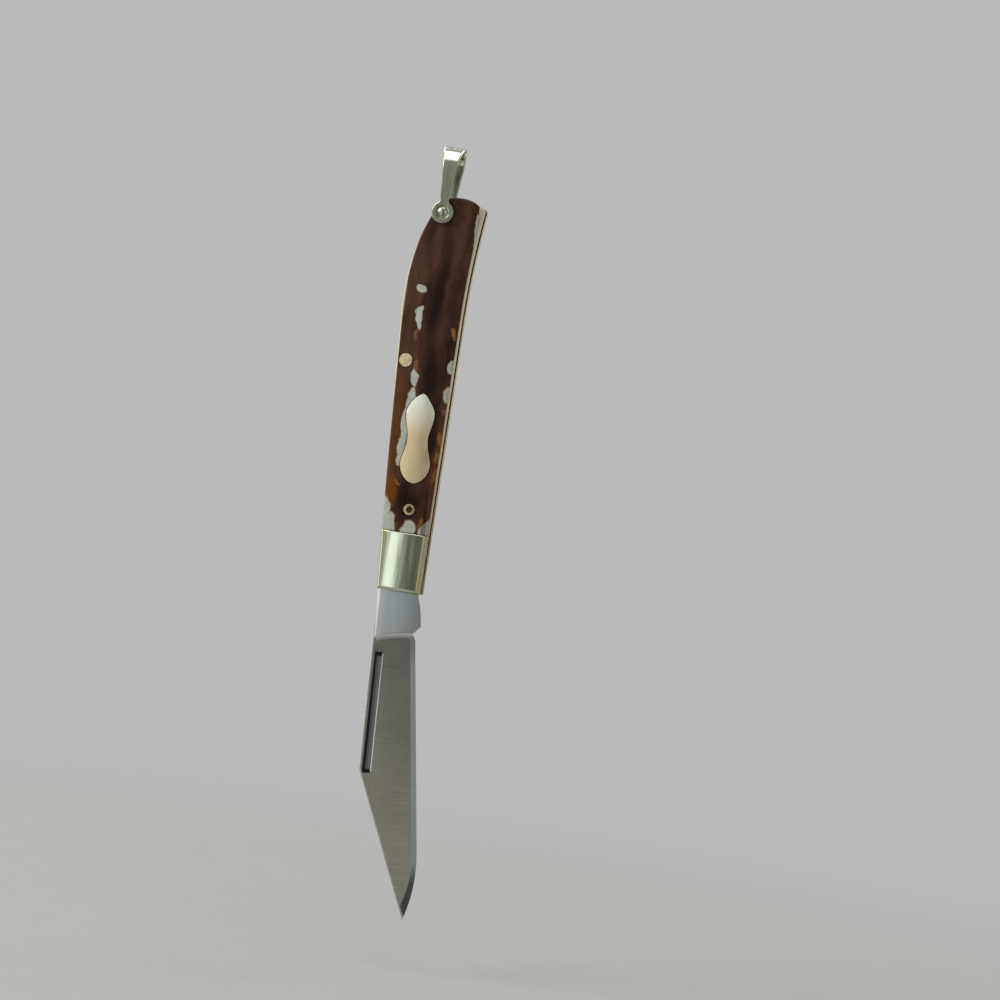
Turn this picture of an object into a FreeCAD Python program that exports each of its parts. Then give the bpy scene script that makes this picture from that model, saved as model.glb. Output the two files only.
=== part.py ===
import FreeCAD, Part
import math
import os

# A single-blade slip-joint pocket knife, open and hanging by its bail, in millimetres.
# +Z runs up the handle from the blade to the bail, +X points to the belly, where the
# blade folds in, and the front face looks along -Y. The origin is the inside of the
# bail's crown, where a ring or a lanyard pulls.
# Heights count up from the blade end of the handle, and depths in from its belly line.

# Handle outline
HANDLE_LENGTH = 88.9
BLADE_END_WIDTH = 9.6
BACK_LEAN = 4.2            # degrees
BACK_CURVE_LENGTH = 26.4   # the back is straight up to this far below the butt
BELLY_FLARE_LENGTH = 27.0  # the belly is straight up to this far below the butt
BELLY_HOLLOW = 0.3
BUTT_BELLY_DROP = 1.6
BUTT_BELLY_PROUD = 1.1
BUTT_PEAK_IN = 4.6
BUTT_BACK_DROP = 1.3
BUTT_BACK_IN = 8.9
BUTT_BACK_ROUND = 3.0
BUTT_BELLY_ROUND = 1.0

# Layers, from the blade outwards
BLADE_THICKNESS = 2.2
SIDE_PLAY = 0.05
LINER_THICKNESS = 0.6
COVER_THICKNESS = 2.85
CROWN_RADIUS = 23.0
EDGE_BREAK = 0.5
BOLSTER_LENGTH = 13.3
BOLSTER_JOINT = 0.12

# Backspring
NOSE_UP = 2.0
NOSE_DEPTH = 2.6
SPRING_MIDDLE_DEPTH = 4.2
SPRING_BUTT_COVER = 3.5    # steel on the belly side of the bail pin's axis, at the butt
SPRING_GAP = 0.05

# Pivot and blade
PIVOT_UP = 6.5
PIVOT_IN = 4.3
PIVOT_DIAMETER = 2.4
PIVOT_PLAY = 0.045
CAM_RADIUS = 3.9
TIP_MARGIN = 2.5           # from the closed tip to the butt
SPINE_LEAN = 3.1           # degrees
SPINE_PROUD = 0.2          # over the spring's back at the nose
CLIP_START_SHARE = 0.558
CLIP_ROUND = 2.0
EDGE_LEAN = 9.5            # degrees
EDGE_STRAIGHT_SHARE = 0.76
TIP_RISE = 3.4
HEEL_BELOW = 10.4
HEEL_PROUD = 0.4
CHOIL_BELOW = 8.9
CHOIL_IN = 0.4
CHOIL_ROUND = 0.35
KICK_BELOW = 6.8
KICK_LENGTH = 1.8
KICK_PROUD = 1.3
KICK_ROUND = 0.9
TANG_BEND_BELOW = 0.3
TANG_BEND_ROUND = 2.0
EDGE_THICKNESS = 0.55
GRIND_ANGLE = 3.3          # degrees
BEVEL_ANGLE = 15.0         # degrees
APEX_THICKNESS = 0.05
PLUNGE_SPINE_BELOW = 11.0
PLUNGE_MIDDLE_BELOW = 9.3
PLUNGE_EDGE_BELOW = 8.6
PLUNGE_COVE = 0.9
SPINE_CHAMFER = 0.42
PULL_BELOW = 14.5
PULL_LENGTH_SHARE = 0.365
PULL_SETBACK = 1.25        # from the spine to the pull's floor
PULL_WIDTH = 1.3
PULL_FLOOR = 0.4           # half thickness left under the pull
PULL_SPINE_RUN = 0.6       # how far each wall leans out from the floor to the tang's face
PULL_EDGE_RUN = 0.35
PULL_END_RUN = 0.7

# Pins
PIN_FIT = 0.01
CENTRE_PIN_UP = 51.4
CENTRE_PIN_FROM_BACK = 2.2
CENTRE_PIN_DIAMETER = 1.6
CENTRE_HEAD_DIAMETER = 3.0
CENTRE_HEAD_PROUD = 0.12
HEAD_SEAT = 1.4            # head seat over the liner
RIVET_FROM_JOINT = 5.2
RIVET_IN = 5.0
RIVET_DIAMETER = 1.7
RIVET_BORE = 0.9
RIVET_FLARE = 1.5
RIVET_FLARE_DEPTH = 0.5
RIVET_HEAD_DIAMETER = 2.5
RIVET_HEAD_PROUD = 0.1
BAIL_PIN_BELOW_BUTT = 3.8
BAIL_PIN_IN = 8.0
BAIL_PIN_DIAMETER = 2.0
BAIL_HEAD_DIAMETER = 2.6
BAIL_HEAD_RISE = 0.42      # from the head's rim to the top of its dome

# Bail
BAIL_RISE = 14.2
BAIL_STRAP = 1.0
BAIL_PLAY = 0.15
BAIL_EYE_DIAMETER = 5.0
BAIL_EYE_PLAY = 0.05
BAIL_RECESS_DIAMETER = 3.1
BAIL_RECESS_DEPTH = 0.5
BAIL_NECK_WIDTH = 2.06
BAIL_MIDDLE_WIDTH = 2.7
BAIL_CROWN_WIDTH = 4.7
BAIL_EYE_BLEND = 0.8
BAIL_EDGE_BREAK = 0.2

# Shield inlay
SHIELD_FROM_JOINT = 21.1
SHIELD_IN = 5.6
SHIELD_LEAN = 2.7          # degrees
SHIELD_LENGTH = 20.0
SHIELD_WIDTH = 6.7
SHIELD_THICKNESS = 0.75
SHIELD_PROUD = 0.08
SHIELD_GAP = 0.22          # open line round the shield in its pocket
SHIELD_SEAT = 0.02
# Along the length from the head to the foot, and across as a share of the half width
SHIELD_OUTLINE_SHARES = ((0.0, 0.0), (0.06, 0.5), (0.2, 0.94), (0.33, 0.88), (0.47, 0.7),
                         (0.62, 0.78), (0.78, 1.0), (0.91, 0.8), (1.0, 0.0))

OVERRUN = 5.0              # how far cutters run past what they cut
SAME_PLACE = 0.01          # edges nearer than this count as in one place

HALF_BLADE = BLADE_THICKNESS / 2
HALF_GAP = HALF_BLADE + SIDE_PLAY
LINER_OUTER = HALF_GAP + LINER_THICKNESS
HEAD_FLOOR = LINER_OUTER + HEAD_SEAT
BAIL_INNER = LINER_OUTER + COVER_THICKNESS + BAIL_PLAY
BAIL_OUTER = BAIL_INNER + BAIL_STRAP
OUTSIDE = BAIL_OUTER + OVERRUN
BLADE_END_Z = BAIL_PIN_BELOW_BUTT - BAIL_RISE - HANDLE_LENGTH
BAIL_PIN_UP = HANDLE_LENGTH - BAIL_PIN_BELOW_BUTT
BACK_STRAIGHT = HANDLE_LENGTH - BACK_CURVE_LENGTH
ACROSS = FreeCAD.Vector(0, 1, 0)


def spot(up, depth):
    """A place on the knife's flat: its height over the blade end and its depth from the belly line."""
    return FreeCAD.Vector(up, depth, 0)


def heading(degrees):
    """A direction on the flat, turned from straight up towards the back."""
    turn = math.radians(degrees)
    return spot(math.cos(turn), math.sin(turn))


def place(flat, out=0.0):
    """The point in space of a place on the flat, out towards the rear face."""
    return FreeCAD.Vector(BAIL_PIN_IN - flat.y, out, BLADE_END_Z + flat.x)


def line(start, end):
    return Part.LineSegment(place(start), place(end)).toShape()


def arc(start, middle, end):
    return Part.Arc(place(start), place(middle), place(end)).toShape()


def polygon(*spots):
    return [line(start, end) for start, end in zip(spots, spots[1:] + spots[:1])]


def tangent_middle(start, along, end):
    """Middle of the arc that leaves start in the direction along and ends at end."""
    chord = end - start
    turn = math.atan2(chord.x * along.y - chord.y * along.x, chord * along)
    side = spot(-chord.y, chord.x)
    return (start + end) / 2 + side * (math.tan(turn / 2) / 2)


def prism(edges, near, far):
    """The closed outline on the flat, from the depth near to the depth far."""
    face = Part.Face(Part.Wire(edges))
    face.translate(ACROSS * near)
    return face.extrude(ACROSS * (far - near))


def bar(flat, diameter, near, far):
    """A round bar across the knife."""
    return Part.makeCylinder(diameter / 2, far - near, place(flat, near), ACROSS)


def through(flat, diameter):
    return bar(flat, diameter, -OUTSIDE, OUTSIDE)


def mirrored(shape):
    """The same piece on the rear side."""
    return shape.mirror(FreeCAD.Vector(0, 0, 0), ACROSS)


def edges_across(shape, spots):
    """The edges that run straight across the knife at these places."""
    found = []
    for edge in shape.Edges:
        ends = [vertex.Point for vertex in edge.Vertexes]
        for flat in spots:
            offsets = [(end - place(flat, end.y)).Length for end in ends]
            if len(ends) == 2 and max(offsets) < SAME_PLACE:
                found.append(edge)
    return found


# Handle outline and its arched faces
BELLY_LOW = spot(0, 0)
BELLY_FLARE = spot(HANDLE_LENGTH - BELLY_FLARE_LENGTH, BELLY_HOLLOW)
BELLY_HIGH = spot(HANDLE_LENGTH - BUTT_BELLY_DROP, -BUTT_BELLY_PROUD)
BUTT_BACK = spot(HANDLE_LENGTH - BUTT_BACK_DROP, BUTT_BACK_IN)
BACK_LOW = spot(0, BLADE_END_WIDTH)
BACK_HIGH = BACK_LOW + heading(BACK_LEAN) * (BACK_STRAIGHT / math.cos(math.radians(BACK_LEAN)))
BACK_MIDDLE = tangent_middle(BACK_HIGH, heading(BACK_LEAN), BUTT_BACK)
BACK_ARC = Part.Arc(BACK_HIGH, BACK_MIDDLE, BUTT_BACK).toShape().Curve
WIDEST = BACK_ARC.Center.y + BACK_ARC.Radius


def back_depth(up):
    """Depth of the back edge at a height."""
    if up <= BACK_STRAIGHT:
        return BLADE_END_WIDTH + up * math.tan(math.radians(BACK_LEAN))
    return BACK_ARC.Center.y + math.sqrt(BACK_ARC.Radius ** 2 - (up - BACK_ARC.Center.x) ** 2)


def handle_layer(near, far):
    """A plate with the handle's outline."""
    edges = [
        line(BELLY_LOW, BELLY_FLARE),
        arc(BELLY_FLARE, tangent_middle(BELLY_FLARE, BELLY_FLARE, BELLY_HIGH), BELLY_HIGH),
        arc(BELLY_HIGH, spot(HANDLE_LENGTH, BUTT_PEAK_IN), BUTT_BACK),
        arc(BUTT_BACK, BACK_MIDDLE, BACK_HIGH),
        line(BACK_HIGH, BACK_LOW),
        line(BACK_LOW, BELLY_LOW),
    ]
    plate = prism(edges, near, far)
    plate = plate.makeFillet(BUTT_BACK_ROUND, edges_across(plate, [BUTT_BACK]))
    return plate.makeFillet(BUTT_BELLY_ROUND, edges_across(plate, [BELLY_HIGH]))


CREST_LOW = spot(0, BLADE_END_WIDTH / 2)
CREST_HIGH = spot(HANDLE_LENGTH, (BUTT_PEAK_IN + WIDEST / 2) / 2)


def arch(proud=0.0):
    """A round bar whose front side arches over the middle of the handle, grown by proud."""
    reach = LINER_OUTER + COVER_THICKNESS + proud
    along = CREST_HIGH - CREST_LOW
    length = along.Length + 2 * OVERRUN
    along.normalize()
    start = place(CREST_LOW - along * OVERRUN, CROWN_RADIUS - reach)
    return Part.makeCylinder(CROWN_RADIUS, length, start, run(along, length))


def front_cover():
    """Bolster and scale of the front side in one, with the break along their outer edge."""
    cover = handle_layer(-OUTSIDE, -LINER_OUTER).common(arch())
    rim = [edge for edge in cover.Edges if edge.BoundBox.YMax < -LINER_OUTER - SAME_PLACE]
    return cover.makeChamfer(EDGE_BREAK, rim)


def band(low, high):
    """All of the knife between two heights."""
    width = WIDEST + 2 * OVERRUN
    outline = polygon(
        spot(low, -OVERRUN), spot(high, -OVERRUN), spot(high, width), spot(low, width))
    return prism(outline, -OUTSIDE, OUTSIDE)


# Places of the pins
PIVOT = spot(PIVOT_UP, PIVOT_IN)
CENTRE_PIN = spot(CENTRE_PIN_UP, back_depth(CENTRE_PIN_UP) - CENTRE_PIN_FROM_BACK)
BAIL_PIN = spot(BAIL_PIN_UP, BAIL_PIN_IN)
RIVET_UP = BOLSTER_LENGTH + RIVET_FROM_JOINT
RIVET = spot(RIVET_UP, RIVET_IN)


# Backspring
NOSE = spot(NOSE_UP, back_depth(NOSE_UP) - NOSE_DEPTH)
SPRING_MIDDLE = spot(CENTRE_PIN_UP, back_depth(CENTRE_PIN_UP) - SPRING_MIDDLE_DEPTH)
SPRING_BUTT = spot(HANDLE_LENGTH, BAIL_PIN_IN - SPRING_BUTT_COVER)


def spring_space(gap, half_thickness):
    """Everything on the back side of the spring's running edge, grown by gap."""
    lower = spot(0, -gap)
    nose = NOSE + spot(-gap, -gap)
    middle = SPRING_MIDDLE + lower
    butt = SPRING_BUTT + lower
    far_butt = spot(HANDLE_LENGTH + OVERRUN, butt.y)
    far_back = spot(HANDLE_LENGTH + OVERRUN, WIDEST + OVERRUN)
    nose_back = spot(nose.x, WIDEST + OVERRUN)
    edges = [
        line(nose, middle),
        arc(middle, tangent_middle(middle, middle - nose, butt), butt),
        line(butt, far_butt),
        line(far_butt, far_back),
        line(far_back, nose_back),
        line(nose_back, nose),
    ]
    return prism(edges, -half_thickness, half_thickness)


def backspring():
    spring = handle_layer(-HALF_GAP, HALF_GAP).common(spring_space(0, HALF_GAP))
    spring = spring.cut(through(CENTRE_PIN, CENTRE_PIN_DIAMETER + 2 * PIN_FIT))
    return spring.cut(through(BAIL_PIN, BAIL_PIN_DIAMETER + 2 * PIN_FIT))


# Blade outline
SPINE = heading(SPINE_LEAN)
SPINE_TOP = spot(NOSE_UP, back_depth(NOSE_UP) + SPINE_PROUD)
EDGE = heading(EDGE_LEAN) * -1
EDGE_INWARD = spot(EDGE.y, -EDGE.x)
HEEL = spot(-HEEL_BELOW, -HEEL_PROUD)
REACH = HANDLE_LENGTH - PIVOT_UP - TIP_MARGIN


def spine_spot(up):
    return SPINE_TOP + SPINE * ((up - SPINE_TOP.x) / SPINE.x)


def find_tip():
    """Where the line TIP_RISE above the straight edge is as far from the pivot as the blade reaches."""
    start = HEEL + EDGE_INWARD * TIP_RISE - PIVOT
    back = start * EDGE
    return PIVOT + start + EDGE * (math.sqrt(back ** 2 - start * start + REACH ** 2) - back)


TIP = find_tip()
CLIP = spine_spot(TIP.x * CLIP_START_SHARE)
EDGE_END = HEEL + EDGE * ((TIP - HEEL).Length * EDGE_STRAIGHT_SHARE)
EDGE_ARC_MIDDLE = tangent_middle(EDGE_END, EDGE, TIP)
CHOIL = spot(-CHOIL_BELOW, CHOIL_IN)
KICK = spot(-KICK_BELOW, -KICK_PROUD)
KICK_TOP = spot(KICK_LENGTH - KICK_BELOW, -KICK_PROUD)
CAM_BELLY = PIVOT - spot(0, CAM_RADIUS)
TANG_BEND = spot(-TANG_BEND_BELOW, CAM_BELLY.y)


def find_closing_angle():
    """How far the blade turns until its kick meets the spring's running edge."""
    along = SPRING_MIDDLE - NOSE
    along.normalize()
    square = spot(-along.y, along.x)
    arm = KICK - PIVOT
    reach = math.acos((NOSE - PIVOT) * square / arm.Length)
    turn = math.atan2(square.y, square.x) - reach - math.atan2(arm.y, arm.x)
    return math.degrees(turn)


CLOSING_ANGLE = find_closing_angle()


def blade_blank():
    """The blade and tang as cut from sheet, with the cam's flats for open, half and closed."""
    top = spine_spot(PIVOT_UP)
    edges = [
        line(top, CLIP),
        line(CLIP, TIP),
        arc(TIP, EDGE_ARC_MIDDLE, EDGE_END),
        line(EDGE_END, HEEL),
        line(HEEL, CHOIL),
        line(CHOIL, KICK),
        line(KICK, KICK_TOP),
        line(KICK_TOP, TANG_BEND),
        line(TANG_BEND, CAM_BELLY),
        line(CAM_BELLY, top),
    ]
    blank = prism(edges, -HALF_BLADE, HALF_BLADE)
    blank = blank.makeFillet(CLIP_ROUND, edges_across(blank, [CLIP]))
    blank = blank.makeFillet(CHOIL_ROUND, edges_across(blank, [CHOIL]))
    blank = blank.makeFillet(KICK_ROUND, edges_across(blank, [KICK, KICK_TOP]))
    blank = blank.makeFillet(TANG_BEND_ROUND, edges_across(blank, [TANG_BEND]))
    cam = bar(PIVOT, 2 * CAM_RADIUS, -HALF_BLADE, HALF_BLADE)
    blank = blank.fuse(cam).removeSplitter()
    for angle in (0, CLOSING_ANGLE / 2, CLOSING_ANGLE):
        space = spring_space(SPRING_GAP, HALF_BLADE + OVERRUN)
        blank = blank.cut(space.rotate(place(PIVOT), ACROSS, angle))
    return blank.cut(through(PIVOT, PIVOT_DIAMETER + 2 * PIVOT_PLAY))


def slope_outline(start, inward, low, high, low_out, high_out):
    """Section on the front side that is open outwards from a slope between two depths."""
    points = [
        place(start + inward * low, -low_out),
        place(start + inward * high, -high_out),
        place(start + inward * high, -OUTSIDE),
        place(start + inward * low, -OUTSIDE),
    ]
    points.append(points[0])
    return Part.Face(Part.makePolygon(points))


def run(direction, length):
    """A move in space along a direction on the flat."""
    return place(direction * length) - place(spot(0, 0))


def front_grind():
    """What the grinding wheel takes off the front: a flat slope that ends in a coved plunge."""
    slope = math.tan(math.radians(GRIND_ANGLE))
    wide = WIDEST + 2 * OVERRUN
    start = HEEL - EDGE * (HEEL_BELOW + OVERRUN)
    rest = EDGE_THICKNESS / 2
    section = slope_outline(
        start, EDGE_INWARD, -OVERRUN, wide, rest - OVERRUN * slope, rest + wide * slope)
    ground = section.extrude(run(EDGE, REACH + 2 * OVERRUN))
    spine_side = spot(-PLUNGE_SPINE_BELOW, SPINE_TOP.y)
    edge_side = spot(-PLUNGE_EDGE_BELOW, 0)
    middle = spot(-PLUNGE_MIDDLE_BELOW, SPINE_TOP.y / 2)
    high = spine_side + spot(0, wide)
    low = edge_side - spot(0, wide)
    far = TIP.x - OVERRUN
    edges = [
        line(high, spine_side),
        arc(spine_side, middle, edge_side),
        line(edge_side, low),
        line(low, spot(far, low.y)),
        line(spot(far, low.y), spot(far, high.y)),
        line(spot(far, high.y), high),
    ]
    cutter = ground.common(prism(edges, -OUTSIDE, HALF_BLADE))
    return cutter.makeFillet(PLUNGE_COVE, plunge_edges(cutter, [spine_side, edge_side]))


def plunge_edges(cutter, ends):
    """The chain of edges at the foot of the plunge wall."""
    lowest = min(flat.x for flat in ends)
    foot = []
    for edge in cutter.Edges:
        box = edge.BoundBox
        if box.ZMin > place(spot(lowest, 0)).z - SAME_PLACE and box.YMin > -HALF_BLADE - OVERRUN:
            if box.XLength > SAME_PLACE:
                foot.append(edge)
    return foot


def front_bevel():
    """What the sharpening stone takes off the front, along the straight edge and round to the tip."""
    slope = math.tan(math.radians(BEVEL_ANGLE))
    rest = APEX_THICKNESS / 2
    fall = OVERRUN * slope
    belly = arc(EDGE_END, EDGE_ARC_MIDDLE, TIP).Curve
    section = slope_outline(EDGE_END, EDGE_INWARD, -OVERRUN, OVERRUN, rest - fall, rest + fall)
    past_heel = (HEEL - CHOIL).Length / 2
    straight = section.extrude(run(EDGE, -(EDGE_END - HEEL).Length - past_heel))
    start = place(EDGE_END) - belly.Center
    end = place(TIP) - belly.Center
    sweep = math.degrees(start.getAngle(end) + OVERRUN / belly.Radius)
    curved = section.revolve(belly.Center, start.cross(end), sweep)
    return [straight, curved]


def ground_out(flat):
    """Half thickness of the ground blade at a place."""
    inside = (flat - HEEL) * EDGE_INWARD
    return EDGE_THICKNESS / 2 + inside * math.tan(math.radians(GRIND_ANGLE))


def front_chamfer(start, end):
    """What is taken off the front corner of the spine or the clip, from start to end."""
    along = end - start
    along.normalize()
    inward = spot(along.y, -along.x)
    if inward.y > 0:
        inward = inward * -1
    high = start - along * OVERRUN
    low = end + along * OVERRUN
    corners = []
    for inside, out in (
        (SPINE_CHAMFER + OVERRUN, OVERRUN),
        (-OVERRUN, -SPINE_CHAMFER - OVERRUN),
        (-OVERRUN, OVERRUN),
    ):
        corners.append(place(high + inward * inside, -ground_out(high) - out))
    section = Part.Face(Part.makePolygon(corners + corners[:1]))
    return section.extrude(place(low, -ground_out(low)) - place(high, -ground_out(high)))


def nail_pull():
    """The long pull on the front face, with leaning walls round a flat floor."""
    inward = spot(SPINE.y, -SPINE.x)
    length = -TIP.x * PULL_LENGTH_SHARE
    start = spine_spot(-PULL_BELOW) + inward * PULL_SETBACK
    rings = []
    for share, out in ((0, PULL_FLOOR), (1, HALF_BLADE)):
        spine_side = -PULL_SPINE_RUN * share
        edge_side = PULL_WIDTH + PULL_EDGE_RUN * share
        high = PULL_END_RUN * share
        low = -length - PULL_END_RUN * share
        corners = []
        for along, across in (
            (high, spine_side), (high, edge_side), (low, edge_side), (low, spine_side),
        ):
            corners.append(place(start + SPINE * along + inward * across, -out))
        rings.append(Part.makePolygon(corners + corners[:1]))
    return Part.makeLoft(rings, True, True)


def blade():
    steel = blade_blank()
    grind = front_grind()
    steel = steel.cut(grind).cut(mirrored(grind))
    for cutter in front_bevel() + [front_chamfer(SPINE_TOP, CLIP), front_chamfer(CLIP, TIP)]:
        steel = steel.cut(cutter).cut(mirrored(cutter))
    return steel.cut(nail_pull())


# Handle pieces
def front_liner():
    liner = handle_layer(-LINER_OUTER, -HALF_GAP)
    for flat, diameter in (
        (PIVOT, PIVOT_DIAMETER),
        (CENTRE_PIN, CENTRE_PIN_DIAMETER),
        (BAIL_PIN, BAIL_PIN_DIAMETER),
        (RIVET, RIVET_DIAMETER),
    ):
        liner = liner.cut(through(flat, diameter + 2 * PIN_FIT))
    return liner


def front_bolster(cover):
    bolster = cover.common(band(-OVERRUN, BOLSTER_LENGTH - BOLSTER_JOINT / 2))
    return bolster.cut(through(PIVOT, PIVOT_DIAMETER + 2 * PIN_FIT))


def plain_scale(cover):
    """A scale with the holes that both sides have."""
    scale = cover.common(band(BOLSTER_LENGTH + BOLSTER_JOINT / 2, HANDLE_LENGTH + OVERRUN))
    for flat, diameter, head in (
        (CENTRE_PIN, CENTRE_PIN_DIAMETER, CENTRE_HEAD_DIAMETER),
        (RIVET, RIVET_DIAMETER, RIVET_HEAD_DIAMETER),
    ):
        scale = scale.cut(through(flat, diameter + 2 * PIN_FIT))
        scale = scale.cut(bar(flat, head + 2 * PIN_FIT, -OUTSIDE, -HEAD_FLOOR))
    return scale.cut(through(BAIL_PIN, BAIL_PIN_DIAMETER + 2 * PIN_FIT))


def shield_block(gap, seat):
    """The shield's outline as a block, grown by gap at its rim and by seat at its floor."""
    turn = heading(SHIELD_LEAN)
    side = spot(-turn.y, turn.x)
    centre_up = BOLSTER_LENGTH + SHIELD_FROM_JOINT
    centre = spot(centre_up, SHIELD_IN)
    length = SHIELD_LENGTH + 2 * gap
    half_width = SHIELD_WIDTH / 2 + gap
    left = [(along_share, -across_share) for along_share, across_share in SHIELD_OUTLINE_SHARES[1:-1]]
    spots = []
    for along_share, across_share in SHIELD_OUTLINE_SHARES + tuple(reversed(left)):
        along = turn * (length * (0.5 - along_share))
        spots.append(place(centre + along + side * (half_width * across_share)))
    outline = Part.BSplineCurve()
    outline.interpolate(spots, PeriodicFlag=True)
    floor = LINER_OUTER + COVER_THICKNESS + SHIELD_PROUD - SHIELD_THICKNESS
    return prism([outline.toShape()], -OUTSIDE, seat - floor)


def shield():
    return shield_block(0, 0).common(arch(SHIELD_PROUD))


# Pins
def pivot_pin():
    front = bar(PIVOT, PIVOT_DIAMETER, -OUTSIDE, 0).common(arch())
    return front.fuse(mirrored(front)).removeSplitter()


def centre_pin():
    shank = bar(CENTRE_PIN, CENTRE_PIN_DIAMETER, -HEAD_FLOOR, HEAD_FLOOR)
    head = bar(CENTRE_PIN, CENTRE_HEAD_DIAMETER, -OUTSIDE, -HEAD_FLOOR).common(arch(CENTRE_HEAD_PROUD))
    return shank.fuse([head, mirrored(head)]).removeSplitter()


def front_scale_rivet():
    """A tubular rivet with a flared mouth, through the scale and the liner."""
    head = bar(RIVET, RIVET_HEAD_DIAMETER, -OUTSIDE, -HEAD_FLOOR).common(arch(RIVET_HEAD_PROUD))
    rivet = head.fuse(bar(RIVET, RIVET_DIAMETER, -HEAD_FLOOR, -HALF_GAP)).removeSplitter()
    mouth = head.BoundBox.YMin
    flare = Part.makeCone(
        RIVET_FLARE / 2, RIVET_BORE / 2, RIVET_FLARE_DEPTH, place(RIVET, mouth), ACROSS)
    return rivet.cut(through(RIVET, RIVET_BORE)).cut(flare)


def bail_pin():
    """The pin that holds the spring's end and carries the bail, with a domed head in each eye."""
    rim = BAIL_OUTER - BAIL_RECESS_DEPTH + BAIL_EYE_PLAY
    half_head = BAIL_HEAD_DIAMETER / 2
    thickness = BAIL_OUTER - rim
    radius = (half_head ** 2 + BAIL_HEAD_RISE ** 2) / (2 * BAIL_HEAD_RISE)
    dome = Part.makeSphere(radius, place(BAIL_PIN, radius - rim - thickness))
    head = bar(BAIL_PIN, BAIL_HEAD_DIAMETER, -OUTSIDE, -rim).common(dome)
    shank = bar(BAIL_PIN, BAIL_PIN_DIAMETER, -rim, rim)
    return shank.fuse([head, mirrored(head)]).removeSplitter()


# Bail
def bail_loop(half_width):
    """The space inside a loop that is square below and half round at the crown."""
    spring_line = -BAIL_INNER
    bottom = -BAIL_RISE - BAIL_EYE_DIAMETER
    foot = (FreeCAD.Vector(0, -half_width, bottom), FreeCAD.Vector(0, half_width, bottom))
    shoulder = (FreeCAD.Vector(0, -half_width, spring_line), FreeCAD.Vector(0, half_width, spring_line))
    edges = [
        Part.LineSegment(foot[0], foot[1]).toShape(),
        Part.LineSegment(foot[1], shoulder[1]).toShape(),
        Part.Arc(shoulder[1], FreeCAD.Vector(0, 0, spring_line + half_width), shoulder[0]).toShape(),
        Part.LineSegment(shoulder[0], foot[0]).toShape(),
    ]
    face = Part.Face(Part.Wire(edges))
    face.translate(FreeCAD.Vector(-BAIL_EYE_DIAMETER, 0, 0))
    return face.extrude(FreeCAD.Vector(2 * BAIL_EYE_DIAMETER, 0, 0))


def bail():
    """A flared strap bent over into a loop, with an eye at the end of each leg."""
    low = BAIL_PIN_UP
    high = BAIL_PIN_UP + BAIL_RISE + BAIL_STRAP
    widths = ((low, BAIL_NECK_WIDTH), ((low + high) / 2, BAIL_MIDDLE_WIDTH), (high, BAIL_CROWN_WIDTH))
    belly = [spot(up, BAIL_PIN_IN - width / 2) for up, width in widths]
    back = [spot(up, BAIL_PIN_IN + width / 2) for up, width in widths]
    strap = prism(
        [arc(*belly), line(belly[2], back[2]), arc(*reversed(back)), line(back[0], belly[0])],
        -BAIL_OUTER, BAIL_OUTER)
    shape = strap.fuse(bar(BAIL_PIN, BAIL_EYE_DIAMETER, -BAIL_OUTER, BAIL_OUTER)).removeSplitter()
    loop = bail_loop(BAIL_OUTER).cut(bail_loop(BAIL_INNER))
    shape = shape.common(loop)
    corners = []
    for edge in shape.Edges:
        box = edge.BoundBox
        straight_across = box.XLength < SAME_PLACE and box.ZLength < SAME_PLACE
        if straight_across and box.ZMax < BAIL_EYE_DIAMETER / 2 - BAIL_RISE + SAME_PLACE:
            if abs(box.XMax) > SAME_PLACE and box.ZMin > -BAIL_RISE:
                corners.append(edge)
    shape = shape.makeFillet(BAIL_EYE_BLEND, corners)
    rims = []
    for edge in shape.Edges:
        if max(edge.BoundBox.XLength, edge.BoundBox.ZLength) > SAME_PLACE:
            rims.append(edge)
    shape = shape.makeChamfer(BAIL_EDGE_BREAK, rims)
    recess = bar(BAIL_PIN, BAIL_RECESS_DIAMETER, -OUTSIDE, BAIL_RECESS_DEPTH - BAIL_OUTER)
    shape = shape.cut(through(BAIL_PIN, BAIL_PIN_DIAMETER + 2 * BAIL_EYE_PLAY))
    return shape.cut(recess).cut(mirrored(recess))


def main():
    cover = front_cover()
    scale = plain_scale(cover)
    liner = front_liner()
    bolster = front_bolster(cover)
    rivet = front_scale_rivet()
    pieces = {
        "blade": blade(),
        "backspring": backspring(),
        "front_liner": liner,
        "rear_liner": mirrored(liner),
        "front_bolster": bolster,
        "rear_bolster": mirrored(bolster),
        "front_scale": scale.cut(shield_block(SHIELD_GAP, SHIELD_SEAT)),
        "rear_scale": mirrored(scale),
        "shield": shield(),
        "pivot_pin": pivot_pin(),
        "centre_pin": centre_pin(),
        "bail_pin": bail_pin(),
        "front_scale_rivet": rivet,
        "rear_scale_rivet": mirrored(rivet),
        "bail": bail(),
    }
    os.makedirs("parts", exist_ok=True)
    for name, shape in pieces.items():
        shape.exportStep("parts/" + name + ".step")
        print(name, len(shape.Solids), "solid", shape.isValid(), round(shape.Volume, 3))
    print("closing angle", round(CLOSING_ANGLE, 3))
    print("pivot", place(PIVOT), "bail pin", place(BAIL_PIN), "tip", place(TIP))


main()
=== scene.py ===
import math

import bmesh
import bpy
from mathutils import Matrix, Vector


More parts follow.
